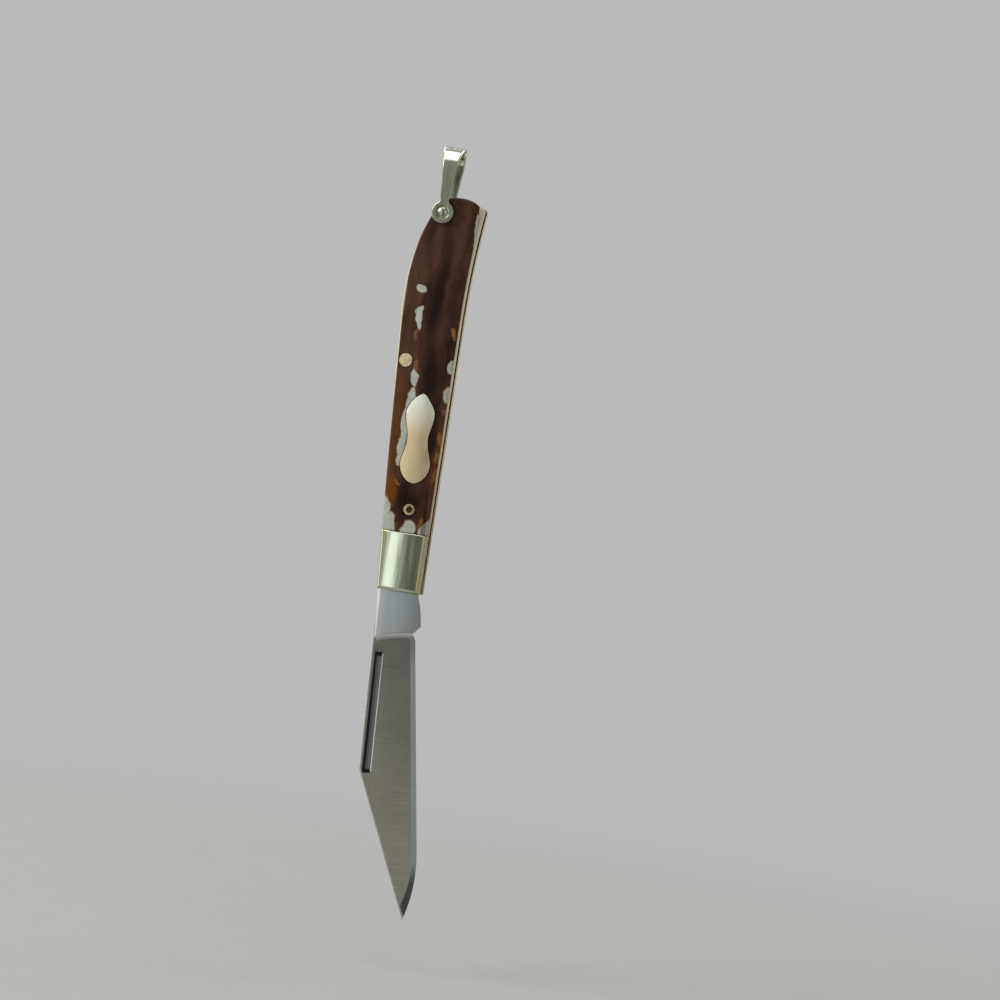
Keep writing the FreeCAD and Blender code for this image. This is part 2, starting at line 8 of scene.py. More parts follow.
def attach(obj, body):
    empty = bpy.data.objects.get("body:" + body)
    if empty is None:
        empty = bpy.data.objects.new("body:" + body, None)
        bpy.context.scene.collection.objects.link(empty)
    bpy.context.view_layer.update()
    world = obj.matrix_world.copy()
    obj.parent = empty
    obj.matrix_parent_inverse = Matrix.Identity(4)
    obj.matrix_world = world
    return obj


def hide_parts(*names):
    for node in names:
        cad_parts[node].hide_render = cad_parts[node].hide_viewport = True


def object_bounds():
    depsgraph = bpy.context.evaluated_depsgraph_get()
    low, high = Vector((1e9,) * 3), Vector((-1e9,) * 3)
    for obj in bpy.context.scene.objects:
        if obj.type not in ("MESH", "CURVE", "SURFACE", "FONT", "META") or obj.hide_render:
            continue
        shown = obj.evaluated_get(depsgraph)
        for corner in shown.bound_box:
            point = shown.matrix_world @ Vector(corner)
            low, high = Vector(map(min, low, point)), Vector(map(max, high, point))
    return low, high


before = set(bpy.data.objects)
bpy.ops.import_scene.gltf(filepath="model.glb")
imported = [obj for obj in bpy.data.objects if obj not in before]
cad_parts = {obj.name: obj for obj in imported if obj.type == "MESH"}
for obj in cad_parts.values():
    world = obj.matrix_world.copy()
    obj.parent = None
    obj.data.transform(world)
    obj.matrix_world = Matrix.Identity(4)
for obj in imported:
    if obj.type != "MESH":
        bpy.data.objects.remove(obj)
CAD_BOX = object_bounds()

bl_info = {
    "name": "Folding Pocket Knife Finish",
    "version": (1, 0, 0),
    "blender": (4, 5, 0),
    "location": "3D View > Sidebar > Knife",
    "description": "Finishes and lights a slip-joint pocket knife",
    "category": "Object",
}

MM = 0.001
ENDLESS = 1000.0


def linear(code):
    """Linear RGB of an sRGB hex colour."""
    shares = [int(code[i:i + 2], 16) / 255 for i in (1, 3, 5)]
    return tuple(c / 12.92 if c <= 0.04045 else ((c + 0.055) / 1.055) ** 2.4 for c in shares)


# Pale patches of the front scale, where the moulding shows its light core through the dye.
# Each is middle x, middle z, half width, half height in mm, and a tilt in degrees.
FRONT_CORE_PATCHES = [
    (-1.95, -31.7, 1.3, 0.9, 12),
    (-1.75, -36.4, 1.05, 0.9, -8),
    (-1.6, -37.7, 0.8, 1.4, 0),
    (-1.45, -39.3, 0.5, 1.4, 0),
    (-0.7, -51.4, 0.75, 2.4, -9),
    (-0.85, -56.3, 0.95, 2.6, 8),
    (-0.75, -62.0, 1.3, 5.0, 0),
    (-0.75, -67.6, 1.25, 4.1, -6),
    (7.5, -48.3, 0.8, 1.7, 0),
    (7.5, -54.6, 0.95, 1.9, 0),
    (-2.7, -81.8, 1.15, 4.1, -12),
    (-1.3, -84.8, 2.0, 2.3, -10),
    (3.45, -85.4, 1.75, 1.9, 14),
    (7.7, -84.9, 1.6, 2.5, 22),
    (8.9, -12.8, 0.9, 4.0, -4),
    (8.4, -19.5, 0.45, 6.0, -6),
]
FRONT_TAN_PATCHES = [
    (-1.7, -41.4, 0.5, 1.9, 10),
    (-0.8, -48.4, 0.45, 1.4, -6),
    (6.5, -40.7, 0.6, 1.4, 0),
    (7.2, -58.4, 0.6, 1.0, 0),
    (7.2, -63.9, 0.65, 1.1, 0),
    (7.2, -68.1, 0.65, 1.2, 0),
    (7.6, -72.7, 0.55, 1.3, 0),
    (-0.6, -75.3, 0.6, 0.9, 0),
    (6.0, -83.6, 0.45, 1.6, 20),
]
FRONT_HONEY_PATCHES = [
    (-3.9, -64.5, 2.3, 13.0, 3),
    (-2.3, -77.0, 1.8, 5.0, -6),
    (7.9, -66.0, 1.3, 13.0, 2),
    (-4.4, -55.0, 1.4, 5.0, 4),
]
FRONT_DARK_PATCHES = [
    (2.9, -79.8, 3.6, 5.4, 0),
    (1.2, -78.6, 2.0, 4.6, -6),
    (3.0, -50.0, 2.6, 8.0, -3),
    (2.0, -32.0, 1.8, 12.0, 2),
    (5.2, -64.0, 1.3, 9.0, 0),
]
# The rear scale's patches aren't seen in the photo: the same kind of figure, laid out afresh.
REAR_CORE_PATCHES = [
    (-1.5, -27.9, 1.2, 0.85, -14),
    (-1.1, -33.4, 0.85, 1.9, 8),
    (-0.8, -36.2, 0.5, 1.5, -6),
    (8.5, -17.5, 0.5, 5.0, -6),
    (7.4, -38.6, 0.8, 2.0, 0),
    (7.5, -44.4, 0.9, 1.4, 0),
    (-2.0, -52.8, 0.75, 2.7, 7),
    (-2.4, -58.6, 1.05, 3.7, -4),
    (-2.1, -65.2, 0.75, 3.0, 4),
    (4.6, -61.2, 0.55, 2.1, -9),
    (5.1, -64.9, 0.75, 1.7, 5),
    (7.6, -70.6, 0.8, 1.8, 0),
    (-3.0, -80.6, 0.9, 3.3, -8),
    (-1.2, -85.0, 1.9, 2.0, -8),
    (3.3, -85.4, 1.6, 1.6, 10),
    (7.6, -84.8, 1.5, 2.4, 18),
]
REAR_TAN_PATCHES = [
    (-1.2, -39.0, 0.5, 1.7, 8),
    (7.2, -48.6, 0.6, 1.2, 0),
    (-1.9, -48.9, 0.45, 1.4, -6),
    (4.9, -68.2, 0.5, 1.4, -6),
    (7.2, -57.6, 0.6, 1.1, 0),
    (-1.9, -70.2, 0.5, 1.3, 0),
    (6.1, -83.0, 0.45, 1.5, 18),
]
REAR_HONEY_PATCHES = [
    (-4.2, -62.0, 2.1, 12.0, 2),
    (7.9, -58.0, 1.4, 12.0, -2),
    (-5.3, -30.0, 1.4, 9.0, -4),
    (8.2, -30.0, 1.0, 9.0, 0),
]
REAR_DARK_PATCHES = [
    (2.4, -79.0, 3.2, 5.0, 0),
    (2.2, -47.0, 2.4, 9.0, 4),
    (2.6, -22.0, 2.4, 7.0, -3),
]

# The studio's lamps: name, azimuth and elevation in degrees, distance, width and height in metres, watts.
# Azimuth 0 is the front and positive turns to the belly side.
LAMPS = [
    ("lamp_left_key", -52, 30, 1.0, 0.5, 0.6, 6.0),
    ("lamp_front_strip", -21, 2, 1.0, 0.19, 0.9, 0.62),
    ("lamp_far_left", -97, 0, 0.9, 0.45, 0.9, 1.7),
    ("lamp_right_fill", 27, 12, 1.1, 0.25, 0.6, 0.4),
    ("lamp_top", -20, 78, 1.0, 0.8, 0.8, 5.0),
    ("lamp_rear_strip", 159, 2, 1.0, 0.19, 0.9, 0.62),
    ("lamp_rear_left", -150, 30, 1.1, 0.5, 0.7, 3.4),
    ("lamp_rear_right", 140, 25, 1.1, 0.5, 0.7, 3.0),
]
# Grey cards before the two faces, which the steel and the bolsters mirror as the darker half of the studio.
# Each is its name, its azimuth in degrees and its width in metres.
CARDS = [("front_card", 5, 0.4), ("rear_card", 181, 0.56)]
CARD_DISTANCE, CARD_HEIGHT = 0.95, 1.1


class KnifeFinishSettings(bpy.types.PropertyGroup):
    """Sizes and colours of the knife's finish."""

    # The ground steel's two colours make painted shade at the heel and painted light towards the point.
    steel_heel: bpy.props.FloatVectorProperty(
        name="Blade at the heel", description="Colour of the ground steel next to the tang",
        subtype="COLOR", min=0, max=1, default=linear("#7b7c73"))
    steel_tip: bpy.props.FloatVectorProperty(
        name="Blade at the tip", description="Colour of the ground steel near the point",
        subtype="COLOR", min=0, max=1, default=linear("#a19e90"))
    steel_tang: bpy.props.FloatVectorProperty(
        name="Blade's tang", description="Colour of the polished tang",
        subtype="COLOR", min=0, max=1, default=linear("#b9c6cd"))
    steel_bevel: bpy.props.FloatVectorProperty(
        name="Blade's edge bevel", description="Colour of the honed strip along the edge",
        subtype="COLOR", min=0, max=1, default=linear("#989e9a"))
    steel_spine: bpy.props.FloatVectorProperty(
        name="Blade's spine", description="Colour of the polished spine and its chamfers",
        subtype="COLOR", min=0, max=1, default=linear("#b4b7b1"))
    # A painted highlight: in the hollow under the tang, along the pull's rim and on the tang's back.
    steel_highlight: bpy.props.FloatVectorProperty(
        name="Burnished steel", description="Colour of the rubbed hollow under the tang and the pull's rim",
        subtype="COLOR", min=0, max=1, default=linear("#d8dbd3"))
    # Painted shade in the nail pull; the backspring's blotches also take it as their duller stain.
    steel_shade_and_stain: bpy.props.FloatVectorProperty(
        name="Dark steel", description="Colour of the shaded steel in the nail pull",
        subtype="COLOR", min=0, max=1, default=linear("#060606"))
    steel_spring: bpy.props.FloatVectorProperty(
        name="Backspring", description="Colour of the backspring's steel",
        subtype="COLOR", min=0, max=1, default=linear("#b0b0ab"))
    # Darker than bare brass throughout: painted shade.
    brass_liner: bpy.props.FloatVectorProperty(
        name="Liners", description="Colour of the brass liners",
        subtype="COLOR", min=0, max=1, default=linear("#9a7d43"))
    brass_pin: bpy.props.FloatVectorProperty(
        name="Pins", description="Colour of the brass pin heads",
        subtype="COLOR", min=0, max=1, default=linear("#beae8a"))
    nickel_bolster: bpy.props.FloatVectorProperty(
        name="Bolsters", description="Colour of the bolsters' nickel silver",
        subtype="COLOR", min=0, max=1, default=linear("#c3cdb8"))
    # A painted reflection: the bolsters turn yellower towards their edges.
    nickel_yellow_reflection: bpy.props.FloatVectorProperty(
        name="Bolsters' tarnish", description="Colour of the yellowed nickel silver near the edges",
        subtype="COLOR", min=0, max=1, default=linear("#b2ac7e"))
    # The shield's upper colour is paler than its lower: a painted highlight.
    nickel_shield: bpy.props.FloatVectorProperty(
        name="Shield", description="Colour of the shield's upper part",
        subtype="COLOR", min=0, max=1, default=linear("#dce3d2"))
    nickel_shield_warm: bpy.props.FloatVectorProperty(
        name="Shield's warm part", description="Colour of the shield's lower part",
        subtype="COLOR", min=0, max=1, default=linear("#c8b591"))
    # A painted highlight on the bail's crown.
    nickel_crown_highlight: bpy.props.FloatVectorProperty(
        name="Bail's crown", description="Colour of the bail's crown, rubbed bright",
        subtype="COLOR", min=0, max=1, default=linear("#c6cab8"))
    nickel_bail: bpy.props.FloatVectorProperty(
        name="Bail", description="Colour of the bail's legs and its pin",
        subtype="COLOR", min=0, max=1, default=linear("#9b9e8a"))
    stag_dark: bpy.props.FloatVectorProperty(
        name="Scales' streaks", description="Darkest brown of the scales",
        subtype="COLOR", min=0, max=1, default=linear("#160d0a"))
    stag_brown: bpy.props.FloatVectorProperty(
        name="Scales", description="Brown of the scales' crown",
        subtype="COLOR", min=0, max=1, default=linear("#4c3429"))
    stag_honey: bpy.props.FloatVectorProperty(
        name="Scales' edges", description="Orange brown towards the scales' edges",
        subtype="COLOR", min=0, max=1, default=linear("#60350a"))
    stag_tan: bpy.props.FloatVectorProperty(
        name="Scales' rims", description="Tan round the pale patches",
        subtype="COLOR", min=0, max=1, default=linear("#7f572b"))
    stag_core: bpy.props.FloatVectorProperty(
        name="Scales' core", description="Pale core in the patches",
        subtype="COLOR", min=0, max=1, default=linear("#a4a79b"))
    stag_cut: bpy.props.FloatVectorProperty(
        name="Scales' cut sides", description="Colour of the scales' sawn sides",
        subtype="COLOR", min=0, max=1, default=linear("#bfb99c"))
    card_colour: bpy.props.FloatVectorProperty(
        name="Grey cards", description="Colour of the cards that the metal mirrors",
        subtype="COLOR", min=0, max=1, default=linear("#6c6d69"))
    floor_colour: bpy.props.FloatVectorProperty(
        name="Floor", description="Colour of the floor",
        subtype="COLOR", min=0, max=1, default=linear("#9d9d9a"))
    studio_colour: bpy.props.FloatVectorProperty(
        name="Studio", description="Colour of the studio round the knife",
        subtype="COLOR", min=0, max=1, default=linear("#bababa"))
    bolster_rounding: bpy.props.FloatProperty(
        name="Bolster rounding", description="Width of the rounding on the bolsters' outer edges",
        subtype="DISTANCE", unit="LENGTH", min=0, default=0.3 * MM)
    bail_rounding: bpy.props.FloatProperty(
        name="Bail rounding", description="Width of the rounding on the bail's edges",
        subtype="DISTANCE", unit="LENGTH", min=0, default=0.08 * MM)
    shield_rounding: bpy.props.FloatProperty(
        name="Shield rounding", description="Width of the rounding on the shield's edges",
        subtype="DISTANCE", unit="LENGTH", min=0, default=0.03 * MM)
    floor_drop: bpy.props.FloatProperty(
        name="Floor drop", description="Height of the point over the floor",
        subtype="DISTANCE", unit="LENGTH", min=0, default=12 * MM)


def add(tree, kind, inputs=None, **settings):
    """Add a node with its settings, and set its inputs to values or link them to sockets."""
    node = tree.nodes.new(kind)
    for key, value in settings.items():
        setattr(node, key, value)
    for key, value in (inputs or {}).items():
        if isinstance(value, bpy.types.NodeSocket):
            tree.links.new(value, node.inputs[key])
        else:
            node.inputs[key].default_value = value
    return node


def opaque(colour):
    """A setting's colour with full alpha."""
    return (*colour, 1.0)


def mixed_colour(first, second, share):
    """A colour between two, at a share of the way."""
    return tuple(a + (b - a) * share for a, b in zip(first, second))


def new_material(name):
    """An empty node material: the material, its tree and its Object coordinates."""
    material = bpy.data.materials.new(name)
    material.use_nodes = True
    material.node_tree.nodes.clear()
    coords = add(material.node_tree, "ShaderNodeTexCoord").outputs["Object"]
    return material, material.node_tree, coords


# Most of a noise lies between these two values, and a tone or a roughness is spread over them.
NOISE_LOW, NOISE_HIGH = 0.3, 0.7
NOISE_ROUGHNESS = 0.55


def stretched_noise(tree, coords, pitches, detail=3.0, tilt=0.0):
    """Noise with its own pitch along x, y and z in mm, turned about y by a tilt."""
    turned = add(tree, "ShaderNodeMapping", {
        "Vector": coords, "Rotation": (0, math.radians(tilt), 0)}, vector_type="TEXTURE")
    spread = add(tree, "ShaderNodeMapping", {
        "Vector": turned.outputs[0], "Scale": tuple(1 / (pitch * MM) for pitch in pitches)})
    noise = add(tree, "ShaderNodeTexNoise", {
        "Vector": spread.outputs[0], "Scale": 1.0, "Detail": detail, "Roughness": NOISE_ROUGHNESS})
    return noise.outputs[0]


def nearest_patch(tree, coords, patches):
    """Distance to the nearest patch's middle, as a share of that patch's half size."""
    nearest = None
    for x, z, half_width, half_height, tilt in patches:
        local = add(tree, "ShaderNodeMapping", {
            "Vector": coords, "Location": (x * MM, 0, z * MM), "Rotation": (0, math.radians(tilt), 0),
            "Scale": (half_width * MM, ENDLESS, half_height * MM)}, vector_type="TEXTURE")
        reach = add(tree, "ShaderNodeVectorMath", {0: local.outputs[0]}, operation="LENGTH")
        reach = reach.outputs["Value"]
        if nearest is None:
            nearest = reach
        else:
            nearest = add(tree, "ShaderNodeMath", {0: nearest, 1: reach}, operation="MINIMUM").outputs[0]
    return nearest


def leaning_place(tree, coords, start, lean):
    """The outputs x, y and z in mm of a place, seen from a start x and z and along a line that leans."""
    local = add(tree, "ShaderNodeMapping", {
        "Vector": coords, "Location": (start[0] * MM, 0, start[1] * MM),
        "Rotation": (0, math.radians(lean), 0), "Scale": (MM, MM, MM)}, vector_type="TEXTURE")
    return add(tree, "ShaderNodeSeparateXYZ", {0: local.outputs[0]}).outputs


# Grinding and polishing lines: how high they stand, and how much of that the light shows.
LINE_HEIGHT, LINE_STRENGTH = 0.01 * MM, 0.2

# Places on the blade, in mm and degrees: its edge and its spine lean away from the handle's line.
EDGE_HEEL = (8.4, -109.7)
EDGE_LEAN = -9.5
EDGE_HALF = 0.275
GRIND_SLOPE = math.tan(math.radians(3.3))
SPINE_LEAN = -3.1
GROUND_TOP, GROUND_LOW = -109.0, -160.0
TANG_TOP, TANG_LOW = -100.0, -109.0
TANG_LIT, TANG_LIT_END = -0.9, 0.9
TANG_SHADE, TANG_SHADE_FULL = 2.2, 8.5
TANG_HALF, GROUND_HALF = 1.09, 1.06
BELOW_FACE, BELOW_FACE_FULL = 0.02, 0.05
COVE_HIGHLIGHT, COVE_HIGHLIGHT_FULL = -0.02, -0.07
COVE_BACK, COVE_BACK_FULL = -1.25, -1.05
# The wheel's curve at the tang: middle x, middle z, its radius both ways and no tilt.
PLUNGE_ARC = (9.28, -135.03, 27.16, 27.16, 0)
PLUNGE_HIGHLIGHT, PLUNGE_HIGHLIGHT_FULL = 0.94, 0.972
BEVEL_TOP, BEVEL_START, BEVEL_FULL = -107.8, -109.5, -117.0
BEVEL_DARK_TOP, BEVEL_DARK_LOW = -158.5, -163.5
CLIP_START, CLIP_LEAN, CLIP_RIM = (0.36, -139.8), -25.08, 0.45
PULL_MIDDLE = (1.56, -127.05)
PULL_HALF_LENGTH, PULL_HALF_WIDTH = 14.0, 1.25
PULL_WALL, PULL_FLOOR_EDGE = -0.54, -0.44
PULL_FAR_WALL, PULL_FAR_EDGE = 0.57, 0.5
PULL_RIM, PULL_RIM_END, PULL_RIM_HALF_LENGTH = 0.68, 0.98, 13.3
PULL_END, PULL_END_FULL = 12.6, 12.8
# Pitches in mm of the grind's lines and of broader stains.
GRIND_PITCHES, STAIN_PITCHES = (7, 7, 0.3), (5, 5, 8)
# The blade's tones, the most that each colour takes over from the one under it, and the roughness.
STEEL_DARKER, STEEL_LIGHTER = 0.93, 1.06
PLUNGE_MOST, PULL_FLOOR_LIGHT, PULL_FAR_MOST = 0.6, 0.42, 0.8
BEVEL_POINT_TONE, BEVEL_HEEL_LEAST = 0.3, 0.25
TANG_LOWER_MOST, TANG_LIT_MOST, TANG_SHADE_MOST = 0.7, 0.6, 0.65
GROUND_SMOOTHER, GROUND_ROUGHER = 0.34, 0.42
TANG_ROUGHNESS, PULL_SHADE_ROUGHNESS = 0.27, 1.0


def ground_blade_steel(finish):
    """High-carbon steel, ground flat across the blade and left satin, with a polished tang."""
    # Fine lines across the blade scatter the light along it, so the face looks grey and dull
    # beside the polished tang. The real lines are near 0.1 mm and are drawn coarser to show.
    material, tree, coords = new_material("high_carbon_steel_satin_ground")
    place = add(tree, "ShaderNodeSeparateXYZ", {0: coords}).outputs
    side = add(tree, "ShaderNodeMath", {0: place["Y"]}, operation="ABSOLUTE").outputs[0]
    # The ground face is darker at the heel and lighter towards the point: painted shade and painted light.
    along = add(tree, "ShaderNodeMapRange", {
        0: place["Z"], 1: GROUND_TOP * MM, 2: GROUND_LOW * MM}).outputs[0]
    ground = add(tree, "ShaderNodeMix", {
        0: along, 6: opaque(finish.steel_heel), 7: opaque(finish.steel_tip)}, data_type="RGBA").outputs[2]
    lines = stretched_noise(tree, coords, GRIND_PITCHES, 2.0, SPINE_LEAN)
    stains = stretched_noise(tree, coords, STAIN_PITCHES)
    tone = add(tree, "ShaderNodeMapRange", {
        0: lines, 1: NOISE_LOW, 2: NOISE_HIGH, 3: STEEL_DARKER, 4: STEEL_LIGHTER}).outputs[0]
    drift = add(tree, "ShaderNodeMapRange", {
        0: stains, 1: NOISE_LOW, 2: NOISE_HIGH, 3: STEEL_DARKER, 4: STEEL_LIGHTER}).outputs[0]
    tone = add(tree, "ShaderNodeMath", {0: tone, 1: drift}, operation="MULTIPLY").outputs[0]
    # How far a place lies under the ground face: the bevel, the spine and the pull do.
    edge = leaning_place(tree, coords, EDGE_HEEL, EDGE_LEAN)
    inward = add(tree, "ShaderNodeMath", {0: edge["X"], 1: -MM}, operation="MULTIPLY").outputs[0]
    face = add(tree, "ShaderNodeMath", {
        0: inward, 1: GRIND_SLOPE, 2: EDGE_HALF * MM}, operation="MULTIPLY_ADD").outputs[0]
    depth = add(tree, "ShaderNodeMath", {0: face, 1: side}, operation="SUBTRACT").outputs[0]
    below = add(tree, "ShaderNodeMapRange", {
        0: depth, 1: BELOW_FACE * MM, 2: BELOW_FACE_FULL * MM}).outputs[0]
    colour = add(tree, "ShaderNodeMix", {
        0: below, 6: ground, 7: opaque(finish.steel_spine)}, data_type="RGBA").outputs[2]
    # Places along the nail pull and along the clip, with x towards the edge.
    pull = leaning_place(tree, coords, PULL_MIDDLE, SPINE_LEAN)
    clip = leaning_place(tree, coords, CLIP_START, CLIP_LEAN)
    off_clip = add(tree, "ShaderNodeMath", {0: clip["X"], 1: CLIP_RIM}, operation="GREATER_THAN").outputs[0]
    # The hollow under the tang gets a painted highlight, and the tang's narrow sides are polished like the
    # spine.
    cove_highlight = add(tree, "ShaderNodeMapRange", {
        0: depth, 1: COVE_HIGHLIGHT * MM, 2: COVE_HIGHLIGHT_FULL * MM}).outputs[0]
    over = add(tree, "ShaderNodeMath", {
        0: place["Z"], 1: BEVEL_TOP * MM}, operation="GREATER_THAN").outputs[0]
    under = add(tree, "ShaderNodeMath", {0: 1.0, 1: over}, operation="SUBTRACT").outputs[0]
    sides = add(tree, "ShaderNodeMath", {0: cove_highlight, 1: over}, operation="MAXIMUM").outputs[0]
    colour = add(tree, "ShaderNodeMix", {
        0: sides, 6: colour, 7: opaque(finish.steel_spine)}, data_type="RGBA").outputs[2]
    # A painted highlight in a band along the wheel's curve under the tang.
    wheel_highlight = add(tree, "ShaderNodeMapRange", {
        0: nearest_patch(tree, coords, [PLUNGE_ARC]), 1: PLUNGE_HIGHLIGHT, 2: PLUNGE_HIGHLIGHT_FULL,
        4: PLUNGE_MOST}, interpolation_type="SMOOTHSTEP").outputs[0]
    upper = add(tree, "ShaderNodeMath", {
        0: place["Z"], 1: BEVEL_FULL * MM}, operation="GREATER_THAN").outputs[0]
    wheel_highlight = add(tree, "ShaderNodeMath", {0: wheel_highlight, 1: upper}, operation="MULTIPLY").outputs[0]
    cove_highlight = add(tree, "ShaderNodeMath", {0: cove_highlight, 1: wheel_highlight}, operation="MAXIMUM").outputs[0]
    inside = add(tree, "ShaderNodeMapRange", {0: pull["X"], 1: COVE_BACK, 2: COVE_BACK_FULL}).outputs[0]
    cove_highlight = add(tree, "ShaderNodeMath", {0: cove_highlight, 1: inside}, operation="MULTIPLY").outputs[0]
    cove_highlight = add(tree, "ShaderNodeMath", {0: cove_highlight, 1: under}, operation="MULTIPLY").outputs[0]
    colour = add(tree, "ShaderNodeMix", {
        0: cove_highlight, 6: colour, 7: opaque(finish.steel_highlight)}, data_type="RGBA").outputs[2]
    # Honed bevel along the edge, fainter at the heel, with painted shade where it turns up to the point.
    honed = add(tree, "ShaderNodeMath", {
        0: pull["X"], 1: PULL_HALF_WIDTH}, operation="GREATER_THAN").outputs[0]
    honed = add(tree, "ShaderNodeMath", {0: honed, 1: off_clip}, operation="MULTIPLY").outputs[0]
    honed = add(tree, "ShaderNodeMath", {0: honed, 1: below}, operation="MULTIPLY").outputs[0]
    honed = add(tree, "ShaderNodeMath", {0: honed, 1: under}, operation="MULTIPLY").outputs[0]
    # Painted shade on the bevel towards the point.
    point = add(tree, "ShaderNodeMapRange", {
        0: place["Z"], 1: BEVEL_DARK_TOP * MM, 2: BEVEL_DARK_LOW * MM,
        3: 1.0, 4: BEVEL_POINT_TONE}).outputs[0]
    start = add(tree, "ShaderNodeMapRange", {
        0: place["Z"], 1: BEVEL_START * MM, 2: BEVEL_FULL * MM, 3: BEVEL_HEEL_LEAST, 4: 1.0}).outputs[0]
    bevel = add(tree, "ShaderNodeMix", {
        0: start, 6: ground, 7: opaque(finish.steel_bevel)}, data_type="RGBA").outputs[2]
    bevel = add(tree, "ShaderNodeMix", {
        0: 1.0, 6: bevel, 7: point}, data_type="RGBA", blend_type="MULTIPLY").outputs[2]
    colour = add(tree, "ShaderNodeMix", {0: honed, 6: colour, 7: bevel}, data_type="RGBA").outputs[2]
    # Nail pull in the front face: painted shade on its floor, and nearly black painted shade along its
    # walls and at its ends.
    front = add(tree, "ShaderNodeMath", {0: place["Y"], 1: 0.0}, operation="LESS_THAN").outputs[0]
    front = add(tree, "ShaderNodeMath", {0: front, 1: off_clip}, operation="MULTIPLY").outputs[0]
    length = add(tree, "ShaderNodeMath", {0: pull["Z"]}, operation="ABSOLUTE").outputs[0]
    width = add(tree, "ShaderNodeMath", {0: pull["X"]}, operation="ABSOLUTE").outputs[0]
    long = add(tree, "ShaderNodeMath", {0: length, 1: PULL_HALF_LENGTH}, operation="LESS_THAN").outputs[0]
    wide = add(tree, "ShaderNodeMath", {0: width, 1: PULL_HALF_WIDTH}, operation="LESS_THAN").outputs[0]
    groove = add(tree, "ShaderNodeMath", {0: long, 1: wide}, operation="MULTIPLY").outputs[0]
    groove = add(tree, "ShaderNodeMath", {0: groove, 1: below}, operation="MULTIPLY").outputs[0]
    groove = add(tree, "ShaderNodeMath", {0: groove, 1: front}, operation="MULTIPLY").outputs[0]
    floor = opaque(mixed_colour(finish.steel_shade_and_stain, finish.steel_bevel, PULL_FLOOR_LIGHT))
    colour = add(tree, "ShaderNodeMix", {0: groove, 6: colour, 7: floor}, data_type="RGBA").outputs[2]
    pull_shade = add(tree, "ShaderNodeMapRange", {0: pull["X"], 1: PULL_FLOOR_EDGE, 2: PULL_WALL}).outputs[0]
    far = add(tree, "ShaderNodeMapRange", {
        0: pull["X"], 1: PULL_FAR_EDGE, 2: PULL_FAR_WALL, 4: PULL_FAR_MOST}).outputs[0]
    pull_shade = add(tree, "ShaderNodeMath", {0: pull_shade, 1: far}, operation="MAXIMUM").outputs[0]
    ends = add(tree, "ShaderNodeMapRange", {0: length, 1: PULL_END, 2: PULL_END_FULL}).outputs[0]
    pull_shade = add(tree, "ShaderNodeMath", {0: pull_shade, 1: ends}, operation="MAXIMUM").outputs[0]
    pull_shade = add(tree, "ShaderNodeMath", {0: pull_shade, 1: groove}, operation="MULTIPLY").outputs[0]
    # The pull's rim on the edge side gets a painted highlight, and no painted shade lies there.
    rim = add(tree, "ShaderNodeMath", {0: pull["X"], 1: PULL_RIM}, operation="GREATER_THAN").outputs[0]
    near = add(tree, "ShaderNodeMath", {0: pull["X"], 1: PULL_RIM_END}, operation="LESS_THAN").outputs[0]
    within = add(tree, "ShaderNodeMath", {
        0: length, 1: PULL_RIM_HALF_LENGTH}, operation="LESS_THAN").outputs[0]
    rim = add(tree, "ShaderNodeMath", {0: rim, 1: near}, operation="MULTIPLY").outputs[0]
    rim = add(tree, "ShaderNodeMath", {0: rim, 1: within}, operation="MULTIPLY").outputs[0]
    rim = add(tree, "ShaderNodeMath", {0: rim, 1: front}, operation="MULTIPLY").outputs[0]
    off_rim = add(tree, "ShaderNodeMath", {0: 1.0, 1: rim}, operation="SUBTRACT").outputs[0]
    pull_shade = add(tree, "ShaderNodeMath", {0: pull_shade, 1: off_rim}, operation="MULTIPLY").outputs[0]
    # Painted highlight along the pull's rim.
    colour = add(tree, "ShaderNodeMix", {
        0: rim, 6: colour, 7: opaque(finish.steel_highlight)}, data_type="RGBA").outputs[2]
    colour = add(tree, "ShaderNodeMix", {
        0: 1.0, 6: colour, 7: tone}, data_type="RGBA", blend_type="MULTIPLY").outputs[2]
    # Polished tang: warmer towards the grind, with a painted highlight towards its back
    # and painted shade towards the belly.
    tang = add(tree, "ShaderNodeMapRange", {0: side, 1: GROUND_HALF * MM, 2: TANG_HALF * MM}).outputs[0]
    lower = add(tree, "ShaderNodeMapRange", {
        0: place["Z"], 1: TANG_TOP * MM, 2: TANG_LOW * MM, 4: TANG_LOWER_MOST}).outputs[0]
    polished = add(tree, "ShaderNodeMix", {
        0: lower, 6: opaque(finish.steel_tang), 7: opaque(finish.steel_spine)}, data_type="RGBA").outputs[2]
    tang_highlight = add(tree, "ShaderNodeMapRange", {
        0: pull["X"], 1: TANG_LIT_END, 2: TANG_LIT, 4: TANG_LIT_MOST}).outputs[0]
    polished = add(tree, "ShaderNodeMix", {
        0: tang_highlight, 6: polished, 7: opaque(finish.steel_highlight)}, data_type="RGBA").outputs[2]
    # Painted shade on the tang towards the belly.
    shaded = add(tree, "ShaderNodeMapRange", {
        0: pull["X"], 1: TANG_SHADE, 2: TANG_SHADE_FULL, 4: TANG_SHADE_MOST}).outputs[0]
    polished = add(tree, "ShaderNodeMix", {
        0: shaded, 6: polished, 7: opaque(finish.steel_heel)}, data_type="RGBA").outputs[2]
    colour = add(tree, "ShaderNodeMix", {0: tang, 6: colour, 7: polished}, data_type="RGBA").outputs[2]
